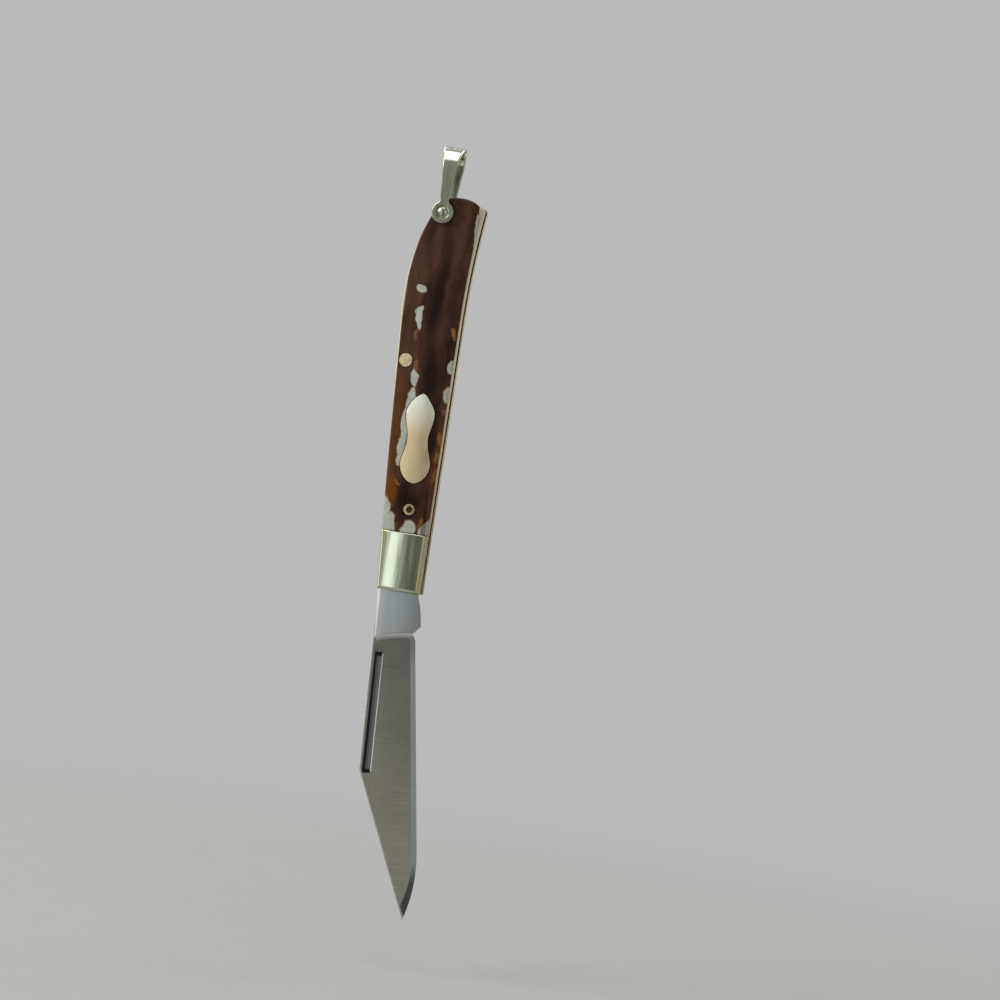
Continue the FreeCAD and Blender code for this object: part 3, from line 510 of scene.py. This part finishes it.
    # Painted shade in the nail pull, nearly black along its walls and at its ends.
    colour = add(tree, "ShaderNodeMix", {
        0: pull_shade, 6: colour, 7: opaque(finish.steel_shade_and_stain)}, data_type="RGBA").outputs[2]
    rough = add(tree, "ShaderNodeMapRange", {
        0: lines, 1: NOISE_LOW, 2: NOISE_HIGH, 3: GROUND_SMOOTHER, 4: GROUND_ROUGHER}).outputs[0]
    rough = add(tree, "ShaderNodeMix", {0: tang, 2: rough, 3: TANG_ROUGHNESS}).outputs[0]
    rough = add(tree, "ShaderNodeMix", {0: pull_shade, 2: rough, 3: PULL_SHADE_ROUGHNESS}).outputs[0]
    unpolished = add(tree, "ShaderNodeMath", {0: 1.0, 1: tang}, operation="SUBTRACT").outputs[0]
    height = add(tree, "ShaderNodeMath", {0: lines, 1: unpolished}, operation="MULTIPLY").outputs[0]
    bump = add(tree, "ShaderNodeBump", {
        "Strength": LINE_STRENGTH, "Distance": LINE_HEIGHT, "Height": height}).outputs[0]
    unshaded = add(tree, "ShaderNodeMath", {0: 1.0, 1: pull_shade}, operation="SUBTRACT").outputs[0]
    shader = add(tree, "ShaderNodeBsdfPrincipled", {
        "Base Color": colour, "Metallic": unshaded, "Roughness": rough, "Normal": bump})
    add(tree, "ShaderNodeOutputMaterial", {"Surface": shader.outputs[0]})
    return material


# Blotches of a worked metal: pitches in mm, and the noise between which the second colour comes in.
BLOTCH_PITCHES = (3.5, 3.5, 4.5)
BLOTCH_LOW, BLOTCH_HIGH = 0.38, 0.68
# How far the streaks take the roughness down and up.
STREAK_SMOOTHER, STREAK_ROUGHER = 0.05, 0.06


def worked_metal(name, colour, second, pitches, roughness, spread=0.08, ends=None, axis="Z", middle=0.0):
    """A metal with polishing streaks, and a drift between two colours, in blotches or along an axis."""
    material, tree, coords = new_material(name)
    streaks = stretched_noise(tree, coords, pitches)
    if ends:
        place = add(tree, "ShaderNodeSeparateXYZ", {0: coords}).outputs
        away = add(tree, "ShaderNodeMath", {
            0: place[axis], 1: middle * MM}, operation="SUBTRACT").outputs[0]
        away = add(tree, "ShaderNodeMath", {0: away}, operation="ABSOLUTE").outputs[0]
        mixed = add(tree, "ShaderNodeMapRange", {0: away, 1: ends[0] * MM, 2: ends[1] * MM}).outputs[0]
    else:
        blotches = stretched_noise(tree, coords, BLOTCH_PITCHES)
        mixed = add(tree, "ShaderNodeMapRange", {0: blotches, 1: BLOTCH_LOW, 2: BLOTCH_HIGH}).outputs[0]
    base = add(tree, "ShaderNodeMix", {
        0: mixed, 6: opaque(colour), 7: opaque(second)}, data_type="RGBA").outputs[2]
    tone = add(tree, "ShaderNodeMapRange", {
        0: streaks, 1: NOISE_LOW, 2: NOISE_HIGH, 3: 1 - spread, 4: 1 + spread}).outputs[0]
    base = add(tree, "ShaderNodeMix", {
        0: 1.0, 6: base, 7: tone}, data_type="RGBA", blend_type="MULTIPLY").outputs[2]
    rough = add(tree, "ShaderNodeMapRange", {
        0: streaks, 1: NOISE_LOW, 2: NOISE_HIGH,
        3: roughness - STREAK_SMOOTHER, 4: roughness + STREAK_ROUGHER}).outputs[0]
    bump = add(tree, "ShaderNodeBump", {
        "Strength": LINE_STRENGTH, "Distance": LINE_HEIGHT, "Height": streaks}).outputs[0]
    shader = add(tree, "ShaderNodeBsdfPrincipled", {
        "Base Color": base, "Metallic": 1.0, "Roughness": rough, "Normal": bump})
    add(tree, "ShaderNodeOutputMaterial", {"Surface": shader.outputs[0]})
    return material


# Crown of the scales in mm: its fall to the edges, and how far the sawn sides reach up on each side.
CROWN_HALF, CROWN_FALL = 4.2, 3.6
CUT_BACK_TOP, CUT_BACK = 3.2, 3.0
CUT_BELLY_TOP, CUT_BELLY = 3.78, 3.6
BELLY_SIDE, BELLY_SIDE_FULL = 5.5, 6.5
# Depths in mm between which the sawn sides take on painted shade.
CUT_UNSHADED, CUT_SHADED = -50.0, -80.0
# The stag figure in mm: how its lines waver, and the pitches of its streaks, clouds, grain and flecks.
WAVER_PITCH, WAVER_REACH = 3.6, (0.6, 0.6, 1.1)
STREAK_PITCHES, CLOUD_PITCHES = (2.5, 2.5, 15), (3.0, 3.0, 9)
GRAIN_PITCHES, FLECK_PITCHES = (0.9, 0.9, 1.6), (0.45, 0.45, 0.6)
# Where a patch ends and where it is full, as shares of its half size.
DARK_END, DARK_FULL = 1.2, 0.4
HONEY_END, HONEY_FULL = 1.15, 0.5
TAN_END, TAN_FULL = 1.15, 0.7
RIM_END, RIM_FULL = 1.18, 1.0
CORE_END, CORE_FULL = 1.04, 0.9
# How far the grain frays the patches' outlines, and how much of that a core patch takes.
FRAY_LOW, FRAY_HIGH, FRAY = 0.25, 0.75, 0.7
CORE_FRAY = 0.16
# The least of each dye where it is rubbed thin, the clouds over which it thins, and the most of others.
STREAK_LEAST, DARK_LEAST = 0.2, 0.15
HONEY_THIN, HONEY_THICK, HONEY_LEAST = 0.3, 0.62, 0.25
TAN_THIN, TAN_THICK, TAN_LEAST = 0.34, 0.6, 0.2
FALL_MOST, CUT_SHADE_MOST = 0.15, 0.85
# Tones of the flecks and of the pale core, and the gloss.
FLECK_DARKER, FLECK_LIGHTER = 0.86, 1.14
CORE_DARKER, CORE_LIGHTER = 0.8, 1.04
STAG_SMOOTHER, STAG_ROUGHER = 0.4, 0.52
STAG_IOR, STAG_SPECULAR = 1.5, 0.05
STAG_WAVE, STAG_WAVE_STRENGTH = 0.08 * MM, 0.3


def moulded_stag(name, finish, core_patches, tan_patches, honey_patches, dark_patches):
    """Dyed moulded scale with a stag look: pale core, brown dyed skin, buffed to a gloss."""
    # The dye lies in long streaks and is rubbed thin in patches, where the pale core shows
    # with a tan rim. The sawn sides are bare, with painted shade towards the bolster.
    material, tree, coords = new_material(name)
    place = add(tree, "ShaderNodeSeparateXYZ", {0: coords}).outputs
    side = add(tree, "ShaderNodeMath", {0: place["Y"]}, operation="ABSOLUTE").outputs[0]
    waver = add(tree, "ShaderNodeTexNoise", {
        "Vector": coords, "Scale": 1 / (WAVER_PITCH * MM), "Detail": 2.0, "Roughness": 0.45},
        normalize=False).outputs["Color"]
    warped = add(tree, "ShaderNodeVectorMath", {
        0: waver, 1: tuple(reach * MM for reach in WAVER_REACH), 2: coords},
        operation="MULTIPLY_ADD").outputs[0]
    streaks = stretched_noise(tree, warped, STREAK_PITCHES, 1.8)
    clouds = stretched_noise(tree, warped, CLOUD_PITCHES)
    dark = add(tree, "ShaderNodeMapRange", {
        0: streaks, 1: NOISE_LOW, 2: NOISE_HIGH, 3: STREAK_LEAST}).outputs[0]
    deep = nearest_patch(tree, warped, dark_patches)
    deep = add(tree, "ShaderNodeMapRange", {
        0: deep, 1: DARK_FULL, 2: DARK_END, 3: DARK_LEAST, 4: 1.0}).outputs[0]
    dark = add(tree, "ShaderNodeMath", {0: dark, 1: deep}, operation="MULTIPLY").outputs[0]
    colour = add(tree, "ShaderNodeMix", {
        0: dark, 6: opaque(finish.stag_dark), 7: opaque(finish.stag_brown)}, data_type="RGBA").outputs[2]
    # Orange brown towards the edges and in broad soft places.
    fall = add(tree, "ShaderNodeMapRange", {
        0: side, 1: CROWN_HALF * MM, 2: CROWN_FALL * MM, 4: FALL_MOST}).outputs[0]
    honey = nearest_patch(tree, warped, honey_patches)
    honey = add(tree, "ShaderNodeMapRange", {0: honey, 1: HONEY_END, 2: HONEY_FULL}).outputs[0]
    honey = add(tree, "ShaderNodeMath", {0: honey, 1: fall}, operation="MAXIMUM").outputs[0]
    thick = add(tree, "ShaderNodeMapRange", {
        0: clouds, 1: HONEY_THIN, 2: HONEY_THICK, 3: HONEY_LEAST, 4: 1.0}).outputs[0]
    honey = add(tree, "ShaderNodeMath", {0: honey, 1: thick}, operation="MULTIPLY").outputs[0]
    colour = add(tree, "ShaderNodeMix", {
        0: honey, 6: colour, 7: opaque(finish.stag_honey)}, data_type="RGBA").outputs[2]
    grain = stretched_noise(tree, coords, GRAIN_PITCHES)
    flecks = stretched_noise(tree, coords, FLECK_PITCHES, 2.0)
    flecks = add(tree, "ShaderNodeMapRange", {
        0: flecks, 1: NOISE_LOW, 2: NOISE_HIGH, 3: FLECK_DARKER, 4: FLECK_LIGHTER}).outputs[0]
    colour = add(tree, "ShaderNodeMix", {
        0: 1.0, 6: colour, 7: flecks}, data_type="RGBA", blend_type="MULTIPLY").outputs[2]
    # Pale patches with a tan rim, and tan patches, all with frayed outlines.
    fray = add(tree, "ShaderNodeMapRange", {
        0: grain, 1: FRAY_LOW, 2: FRAY_HIGH, 3: -FRAY, 4: FRAY}).outputs[0]
    tan = nearest_patch(tree, warped, tan_patches)
    tan = add(tree, "ShaderNodeMath", {0: tan, 1: fray}, operation="ADD").outputs[0]
    tan = add(tree, "ShaderNodeMapRange", {0: tan, 1: TAN_END, 2: TAN_FULL}).outputs[0]
    core = nearest_patch(tree, warped, core_patches)
    core = add(tree, "ShaderNodeMath", {
        0: fray, 1: CORE_FRAY, 2: core}, operation="MULTIPLY_ADD").outputs[0]
    rim = add(tree, "ShaderNodeMapRange", {0: core, 1: RIM_END, 2: RIM_FULL}).outputs[0]
    rim = add(tree, "ShaderNodeMath", {0: rim, 1: tan}, operation="MAXIMUM").outputs[0]
    thin = add(tree, "ShaderNodeMapRange", {
        0: clouds, 1: TAN_THIN, 2: TAN_THICK, 3: TAN_LEAST, 4: 1.0}).outputs[0]
    rim = add(tree, "ShaderNodeMath", {0: rim, 1: thin}, operation="MULTIPLY").outputs[0]
    colour = add(tree, "ShaderNodeMix", {
        0: rim, 6: colour, 7: opaque(finish.stag_tan)}, data_type="RGBA").outputs[2]
    core = add(tree, "ShaderNodeMapRange", {0: core, 1: CORE_END, 2: CORE_FULL}).outputs[0]
    mottle = add(tree, "ShaderNodeMapRange", {
        0: grain, 1: NOISE_LOW, 2: NOISE_HIGH, 3: CORE_DARKER, 4: CORE_LIGHTER}).outputs[0]
    pale = add(tree, "ShaderNodeMix", {
        0: 1.0, 6: opaque(finish.stag_core), 7: mottle}, data_type="RGBA", blend_type="MULTIPLY").outputs[2]
    colour = add(tree, "ShaderNodeMix", {0: core, 6: colour, 7: pale}, data_type="RGBA").outputs[2]
    # Sawn sides, which run further up on the belly, with painted shade that darkens them towards the
    # bolster.
    sawn_shade = add(tree, "ShaderNodeMapRange", {
        0: place["Z"], 1: CUT_UNSHADED * MM, 2: CUT_SHADED * MM, 4: CUT_SHADE_MOST}).outputs[0]
    sawn_shade = add(tree, "ShaderNodeMath", {0: sawn_shade, 1: thin}, operation="MULTIPLY").outputs[0]
    sawn = add(tree, "ShaderNodeMix", {
        0: sawn_shade, 6: opaque(finish.stag_cut), 7: opaque(finish.stag_tan)}, data_type="RGBA").outputs[2]
    belly = add(tree, "ShaderNodeMapRange", {
        0: place["X"], 1: BELLY_SIDE * MM, 2: BELLY_SIDE_FULL * MM}).outputs[0]
    cut = add(tree, "ShaderNodeMapRange", {0: side, 1: CUT_BELLY_TOP * MM, 2: CUT_BELLY * MM}).outputs[0]
    cut = add(tree, "ShaderNodeMath", {0: cut, 1: belly}, operation="MULTIPLY").outputs[0]
    cut_back = add(tree, "ShaderNodeMapRange", {0: side, 1: CUT_BACK_TOP * MM, 2: CUT_BACK * MM}).outputs[0]
    cut = add(tree, "ShaderNodeMath", {0: cut, 1: cut_back}, operation="MAXIMUM").outputs[0]
    colour = add(tree, "ShaderNodeMix", {0: cut, 6: colour, 7: sawn}, data_type="RGBA").outputs[2]
    rough = add(tree, "ShaderNodeMapRange", {
        0: clouds, 1: NOISE_LOW, 2: NOISE_HIGH, 3: STAG_SMOOTHER, 4: STAG_ROUGHER}).outputs[0]
    bump = add(tree, "ShaderNodeBump", {
        "Strength": STAG_WAVE_STRENGTH, "Distance": STAG_WAVE, "Height": clouds}).outputs[0]
    shader = add(tree, "ShaderNodeBsdfPrincipled", {
        "Base Color": colour, "Metallic": 0.0, "Roughness": rough, "IOR": STAG_IOR,
        "Specular IOR Level": STAG_SPECULAR, "Normal": bump})
    add(tree, "ShaderNodeOutputMaterial", {"Surface": shader.outputs[0]})
    return material


def give(node, material):
    """Put one material on a CAD node."""
    node.data.materials.clear()
    node.data.materials.append(material)


# In a copied mesh, corners this near to each other are one, faces this flat to each other are one,
# and edges sharper than this stay crisp.
SAME_CORNER = 0.001 * MM
FLAT_ANGLE = math.radians(0.2)
SHARP_EDGE = math.radians(24)
# Steps of a rounding, and the shares of a chamfer's normal that lie across the knife.
ROUNDING_STEPS = 3
SLANT_LOW, SLANT_HIGH = 0.25, 0.85


def dressed_copy(node, name, body, material):
    """A smoothly shaded copy of a CAD node, in place of the node."""
    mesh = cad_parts[node].data.copy()
    mesh.name = name
    shape = bmesh.new()
    shape.from_mesh(mesh)
    bmesh.ops.remove_doubles(shape, verts=shape.verts[:], dist=SAME_CORNER)
    bmesh.ops.dissolve_limit(shape, angle_limit=FLAT_ANGLE, verts=shape.verts[:], edges=shape.edges[:])
    for face in shape.faces:
        face.smooth = True
    shape.to_mesh(mesh)
    shape.free()
    mesh.set_sharp_from_angle(angle=SHARP_EDGE)
    mesh.materials.clear()
    mesh.materials.append(material)
    piece = bpy.data.objects.new(name, mesh)
    bpy.context.scene.collection.objects.link(piece)
    shading = piece.modifiers.new("shading", "WEIGHTED_NORMAL")
    shading.keep_sharp = True
    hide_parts(node)
    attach(piece, body)
    return piece


def round_edges(piece, width, outer=0.0, shortest=0.0, merged=0.0):
    """Round a piece's sharp edges: those of its chamfers, and others far out that aren't too short."""
    shape = bmesh.new()
    shape.from_mesh(piece.data)
    bmesh.ops.dissolve_degenerate(shape, dist=merged, edges=shape.edges[:])
    weight = shape.edges.layers.float.new("bevel_weight_edge")
    for edge in shape.edges:
        if not edge.is_convex or edge.calc_face_angle() < SHARP_EDGE:
            continue
        slanted = any(SLANT_LOW < abs(face.normal.y) < SLANT_HIGH for face in edge.link_faces)
        outside = min(abs(corner.co.y) for corner in edge.verts) >= outer
        if slanted or (outside and edge.calc_length() >= shortest):
            edge[weight] = 1.0
    shape.to_mesh(piece.data)
    shape.free()
    rounding = piece.modifiers.new("rounding", "BEVEL")
    rounding.width = width
    rounding.segments = ROUNDING_STEPS
    rounding.limit_method = "WEIGHT"
    piece.modifiers.move(piece.modifiers.find("rounding"), 0)


class KNIFE_OT_blade(bpy.types.Operator):
    """Finish the blade as satin ground steel with a polished tang."""

    bl_idname = "knife.blade"
    bl_label = "Finish Blade"

    def execute(self, context):
        finish = context.scene.knife_finish
        dressed_copy("blade", "blade_ground", "blade", ground_blade_steel(finish))
        return {"FINISHED"}


# Shares of a duller second colour in the blotches of the backspring, the liners and the pins.
SPRING_STAIN, LINER_STAIN, PIN_STAIN = 0.12, 0.25, 0.3


class KNIFE_OT_liners(bpy.types.Operator):
    """Finish the backspring and the two liners."""

    bl_idname = "knife.liners"
    bl_label = "Finish Backspring and Liners"

    def execute(self, context):
        finish = context.scene.knife_finish
        # Spring steel, polished along the back: a bright grey strip with lengthwise lines.
        stained = mixed_colour(finish.steel_spring, finish.steel_shade_and_stain, SPRING_STAIN)
        spring = worked_metal("spring_steel_polished_back", finish.steel_spring, stained,
                              pitches=(0.5, 0.5, 9), roughness=0.3)
        give(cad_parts["backspring"], spring)
        # Rolled brass sheet: a soft yellow line between steel and scale, its brass darker throughout as
        # painted shade.
        stained = mixed_colour(finish.brass_liner, finish.stag_brown, LINER_STAIN)
        brass = worked_metal("rolled_brass_sheet", finish.brass_liner, stained,
                             pitches=(0.6, 0.6, 7), roughness=0.34)
        for node in ("front_liner", "rear_liner"):
            give(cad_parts[node], brass)
        return {"FINISHED"}


# The bolsters' middle line, and how far in mm from it they turn yellower, a painted reflection.
BOLSTER_MIDDLE = 2.75
BOLSTER_YELLOWS = (3.0, 4.9)
# Their rounded edges lie this far out and are this long, so the chords of the hole stay crisp.
# Edges that are too short to round are merged.
BOLSTER_OUTER, BOLSTER_CHORD, BOLSTER_MERGED = 3.0 * MM, 0.4 * MM, 0.03 * MM


class KNIFE_OT_bolsters(bpy.types.Operator):
    """Round the edges of the bolsters and finish them with the pivot pin."""

    bl_idname = "knife.bolsters"
    bl_label = "Finish Bolsters"

    def execute(self, context):
        finish = context.scene.knife_finish
        # Nickel silver, buffed lengthwise: a yellowish mirror with faint long streaks, and a painted
        # reflection that makes it yellower towards the edges.
        nickel = worked_metal("nickel_silver_buffed", finish.nickel_bolster, finish.nickel_yellow_reflection,
                              pitches=(0.5, 0.5, 12), roughness=0.17, spread=0.06,
                              ends=BOLSTER_YELLOWS, axis="X", middle=BOLSTER_MIDDLE)
        for node in ("front_bolster", "rear_bolster"):
            piece = dressed_copy(node, node + "_buffed", "handle", nickel)
            round_edges(piece, finish.bolster_rounding, BOLSTER_OUTER, BOLSTER_CHORD, BOLSTER_MERGED)
        give(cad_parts["pivot_pin"], nickel)
        return {"FINISHED"}


class KNIFE_OT_scales(bpy.types.Operator):
    """Dye the scales with the stag look."""

    bl_idname = "knife.scales"
    bl_label = "Finish Scales"

    def execute(self, context):
        finish = context.scene.knife_finish
        front = moulded_stag("moulded_stag_front", finish, FRONT_CORE_PATCHES, FRONT_TAN_PATCHES,
                             FRONT_HONEY_PATCHES, FRONT_DARK_PATCHES)
        rear = moulded_stag("moulded_stag_rear", finish, REAR_CORE_PATCHES, REAR_TAN_PATCHES,
                            REAR_HONEY_PATCHES, REAR_DARK_PATCHES)
        for node, material in (("front_scale", front), ("rear_scale", rear)):
            dressed_copy(node, node + "_stag", "handle", material)
        return {"FINISHED"}


# Depths in mm below the origin between which the shield turns from its paler top, a painted highlight, to a
# warmer and darker lower part.
SHIELD_WARMS = (56.0, 64.5)


class KNIFE_OT_shield(bpy.types.Operator):
    """Round the edge of the shield and finish it bare."""

    bl_idname = "knife.shield"
    bl_label = "Finish Shield"

    def execute(self, context):
        finish = context.scene.knife_finish
        # Nickel silver, rubbed with use: pale and soft, with a painted highlight that makes its upper part
        # paler still, and warmer and darker lower down.
        silver = worked_metal("nickel_silver_rubbed", finish.nickel_shield, finish.nickel_shield_warm,
                              pitches=(2.5, 2.5, 4.5), roughness=0.42, spread=0.03, ends=SHIELD_WARMS)
        piece = dressed_copy("shield", "shield_rubbed", "handle", silver)
        round_edges(piece, finish.shield_rounding)
        return {"FINISHED"}


class KNIFE_OT_pins(bpy.types.Operator):
    """Finish the brass pins and rivets."""

    bl_idname = "knife.pins"
    bl_label = "Finish Pins"

    def execute(self, context):
        finish = context.scene.knife_finish
        # Drawn brass, hammered and buffed: pale yellow and slightly uneven.
        stained = mixed_colour(finish.brass_pin, finish.stag_honey, PIN_STAIN)
        brass = worked_metal("drawn_brass_hammered", finish.brass_pin, stained,
                             pitches=(0.45, 0.45, 0.45), roughness=0.32, spread=0.16)
        for node in ("centre_pin", "front_scale_rivet", "rear_scale_rivet"):
            give(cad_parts[node], brass)
        return {"FINISHED"}


# Distances in mm from the origin in the bail's crown between which its painted highlight fades into the
# duller legs.
CROWN_HIGHLIGHT = (0.6, 3.0)


class KNIFE_OT_bail(bpy.types.Operator):
    """Round the edges of the bail and finish it with its pin."""

    bl_idname = "knife.bail"
    bl_label = "Finish Bail"

    def execute(self, context):
        finish = context.scene.knife_finish
        # Nickel silver strip, bent and tumbled: grey green with soft streaks, and a painted highlight at
        # the crown.
        bright = worked_metal("nickel_silver_tumbled", finish.nickel_crown_highlight, finish.nickel_bail,
                              pitches=(0.9, 0.9, 3.5), roughness=0.17, ends=CROWN_HIGHLIGHT)
        piece = dressed_copy("bail", "bail_tumbled", "bail", bright)
        round_edges(piece, finish.bail_rounding)
        give(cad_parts["bail_pin"], bright)
        return {"FINISHED"}


# Camera of the photo: where it aims on the knife in mm, and how it stands.
CAMERA_AIM = (4.0, 0.0, -85.0)
CAMERA_DISTANCE = 0.7
CAMERA_AZIMUTH = 7.0
CAMERA_ROLL = 9.058
CAMERA_SHIFT_RIGHT, CAMERA_SHIFT_UP = 19.41, 6.52
CAMERA_LENS, CAMERA_SENSOR = 112.3, 36
CAMERA_NEAREST = 0.01
# The floor in metres, and its speckle: pitches in mm and tones.
FLOOR_RADIUS, FLOOR_SIDES = 0.6, 96
FLOOR_FADE_START, FLOOR_FADE_END = 0.12, 0.5
FLOOR_PITCHES = (6, 6, 6)
FLOOR_DARKER, FLOOR_LIGHTER = 0.985, 1.015


class KNIFE_OT_stage(bpy.types.Operator):
    """Set the floor, the studio, the lamps and the camera."""

    bl_idname = "knife.stage"
    bl_label = "Set Stage"

    def execute(self, context):
        finish = context.scene.knife_finish
        low, high = (Vector(corner) for corner in CAD_BOX)
        middle = (low + high) / 2
        self.lay_floor(finish, middle, low.z - finish.floor_drop)
        world = bpy.data.worlds.new("studio")
        world.use_nodes = True
        world.node_tree.nodes.clear()
        sky = add(world.node_tree, "ShaderNodeBackground", {
            "Color": opaque(finish.studio_colour), "Strength": 1.0})
        add(world.node_tree, "ShaderNodeOutputWorld", {"Surface": sky.outputs[0]})
        context.scene.world = world
        for name, azimuth, elevation, distance, width, height, watts in LAMPS:
            light = bpy.data.lights.new(name, "AREA")
            light.shape = "RECTANGLE"
            light.size = width
            light.size_y = height
            light.energy = watts
            lamp = bpy.data.objects.new(name, light)
            turn, rise = math.radians(azimuth), math.radians(elevation)
            level = Vector((math.sin(turn), -math.cos(turn), 0))
            away = level * math.cos(rise) + Vector((0, 0, math.sin(rise)))
            lamp.location = middle + away * distance
            lamp.rotation_euler = (-away).to_track_quat("-Z", "Y").to_euler()
            lamp.visible_camera = False
            context.scene.collection.objects.link(lamp)
        self.hang_cards(finish, middle)
        self.set_camera(context)
        context.scene.view_settings.view_transform = "Standard"
        return {"FINISHED"}

    def lay_floor(self, finish, middle, height):
        """A pale round floor under the knife that fades into the studio."""
        shape = bmesh.new()
        bmesh.ops.create_circle(shape, cap_ends=True, segments=FLOOR_SIDES, radius=FLOOR_RADIUS,
                                matrix=Matrix.Translation((middle.x, middle.y, height)))
        mesh = bpy.data.meshes.new("studio_floor")
        shape.to_mesh(mesh)
        shape.free()
        # Matt painted board: no gloss, a soft shadow.
        material, tree, coords = new_material("painted_board_matt")
        local = add(tree, "ShaderNodeMapping", {
            "Vector": coords, "Location": (middle.x, middle.y, height)}, vector_type="TEXTURE").outputs[0]
        reach = add(tree, "ShaderNodeVectorMath", {0: local}, operation="LENGTH").outputs["Value"]
        fade = add(tree, "ShaderNodeMapRange", {0: reach, 1: FLOOR_FADE_START, 2: FLOOR_FADE_END},
                   interpolation_type="SMOOTHSTEP").outputs[0]
        speckle = stretched_noise(tree, coords, FLOOR_PITCHES)
        tone = add(tree, "ShaderNodeMapRange", {
            0: speckle, 1: NOISE_LOW, 2: NOISE_HIGH, 3: FLOOR_DARKER, 4: FLOOR_LIGHTER}).outputs[0]
        colour = add(tree, "ShaderNodeMix", {
            0: 1.0, 6: opaque(finish.floor_colour), 7: tone},
            data_type="RGBA", blend_type="MULTIPLY").outputs[2]
        board = add(tree, "ShaderNodeBsdfDiffuse", {"Color": colour})
        clear = add(tree, "ShaderNodeBsdfTransparent")
        shader = add(tree, "ShaderNodeMixShader", {0: fade, 1: board.outputs[0], 2: clear.outputs[0]})
        add(tree, "ShaderNodeOutputMaterial", {"Surface": shader.outputs[0]})
        mesh.materials.append(material)
        floor = bpy.data.objects.new("studio_floor", mesh)
        bpy.context.scene.collection.objects.link(floor)

    def hang_cards(self, finish, middle):
        """Matt grey cards out of sight, for the metal to mirror."""
        # Matt grey paper: no gloss.
        material, tree, _ = new_material("grey_paper_matt")
        paper = add(tree, "ShaderNodeBsdfDiffuse", {"Color": opaque(finish.card_colour)})
        add(tree, "ShaderNodeOutputMaterial", {"Surface": paper.outputs[0]})
        for name, azimuth, width in CARDS:
            turn = math.radians(azimuth)
            away = Vector((math.sin(turn), -math.cos(turn), 0))
            upright = Matrix.Rotation(turn, 4, "Z") @ Matrix.Rotation(math.pi / 2, 4, "X")
            sized = upright @ Matrix.Diagonal((width, CARD_HEIGHT, 1, 1))
            shape = bmesh.new()
            # A grid of half size 0.5 is a unit square, which the matrix makes a card.
            bmesh.ops.create_grid(shape, x_segments=1, y_segments=1, size=0.5,
                                  matrix=Matrix.Translation(middle + away * CARD_DISTANCE) @ sized)
            mesh = bpy.data.meshes.new(name)
            shape.to_mesh(mesh)
            shape.free()
            mesh.materials.append(material)
            card = bpy.data.objects.new(name, mesh)
            card.visible_camera = False
            bpy.context.scene.collection.objects.link(card)

    def set_camera(self, context):
        """The photo's camera: level, a little to the belly side, rolled so that the knife leans."""
        turn, roll = math.radians(CAMERA_AZIMUTH), math.radians(CAMERA_ROLL)
        right = Vector((math.cos(turn), math.sin(turn), 0))
        back = Vector((math.sin(turn), -math.cos(turn), 0))
        up = Vector((0, 0, 1))
        across = right * math.cos(roll) + up * math.sin(roll)
        rise = up * math.cos(roll) - right * math.sin(roll)
        place = (Vector(CAMERA_AIM) + across * CAMERA_SHIFT_RIGHT + rise * CAMERA_SHIFT_UP) * MM
        place += back * CAMERA_DISTANCE
        lens = bpy.data.cameras.new("photo_camera")
        lens.sensor_width = CAMERA_SENSOR
        lens.lens = CAMERA_LENS
        lens.clip_start = CAMERA_NEAREST
        camera = bpy.data.objects.new("photo_camera", lens)
        turned = Matrix((across, rise, back)).transposed().to_4x4()
        camera.matrix_world = Matrix.Translation(place) @ turned
        context.scene.collection.objects.link(camera)
        context.scene.camera = camera


class KNIFE_PT_finish(bpy.types.Panel):
    """Sidebar panel with the knife's steps and settings."""

    bl_idname = "KNIFE_PT_finish"
    bl_label = "Pocket Knife"
    bl_space_type = "VIEW_3D"
    bl_region_type = "UI"
    bl_category = "Knife"

    def draw(self, context):
        for step in STEPS:
            self.layout.operator(step.bl_idname)
        for setting in KnifeFinishSettings.__annotations__:
            self.layout.prop(context.scene.knife_finish, setting)


STEPS = (KNIFE_OT_blade, KNIFE_OT_liners, KNIFE_OT_bolsters, KNIFE_OT_scales, KNIFE_OT_shield,
         KNIFE_OT_pins, KNIFE_OT_bail, KNIFE_OT_stage)
CLASSES = (KnifeFinishSettings, *STEPS, KNIFE_PT_finish)


def register():
    for cls in CLASSES:
        bpy.utils.register_class(cls)
    bpy.types.Scene.knife_finish = bpy.props.PointerProperty(type=KnifeFinishSettings)


def unregister():
    del bpy.types.Scene.knife_finish
    for cls in reversed(CLASSES):
        bpy.utils.unregister_class(cls)


def main():
    register()
    bpy.ops.knife.blade()
    bpy.ops.knife.liners()
    bpy.ops.knife.bolsters()
    bpy.ops.knife.scales()
    bpy.ops.knife.shield()
    bpy.ops.knife.pins()
    bpy.ops.knife.bail()
    bpy.ops.knife.stage()


if __name__ == "__main__":
    main()
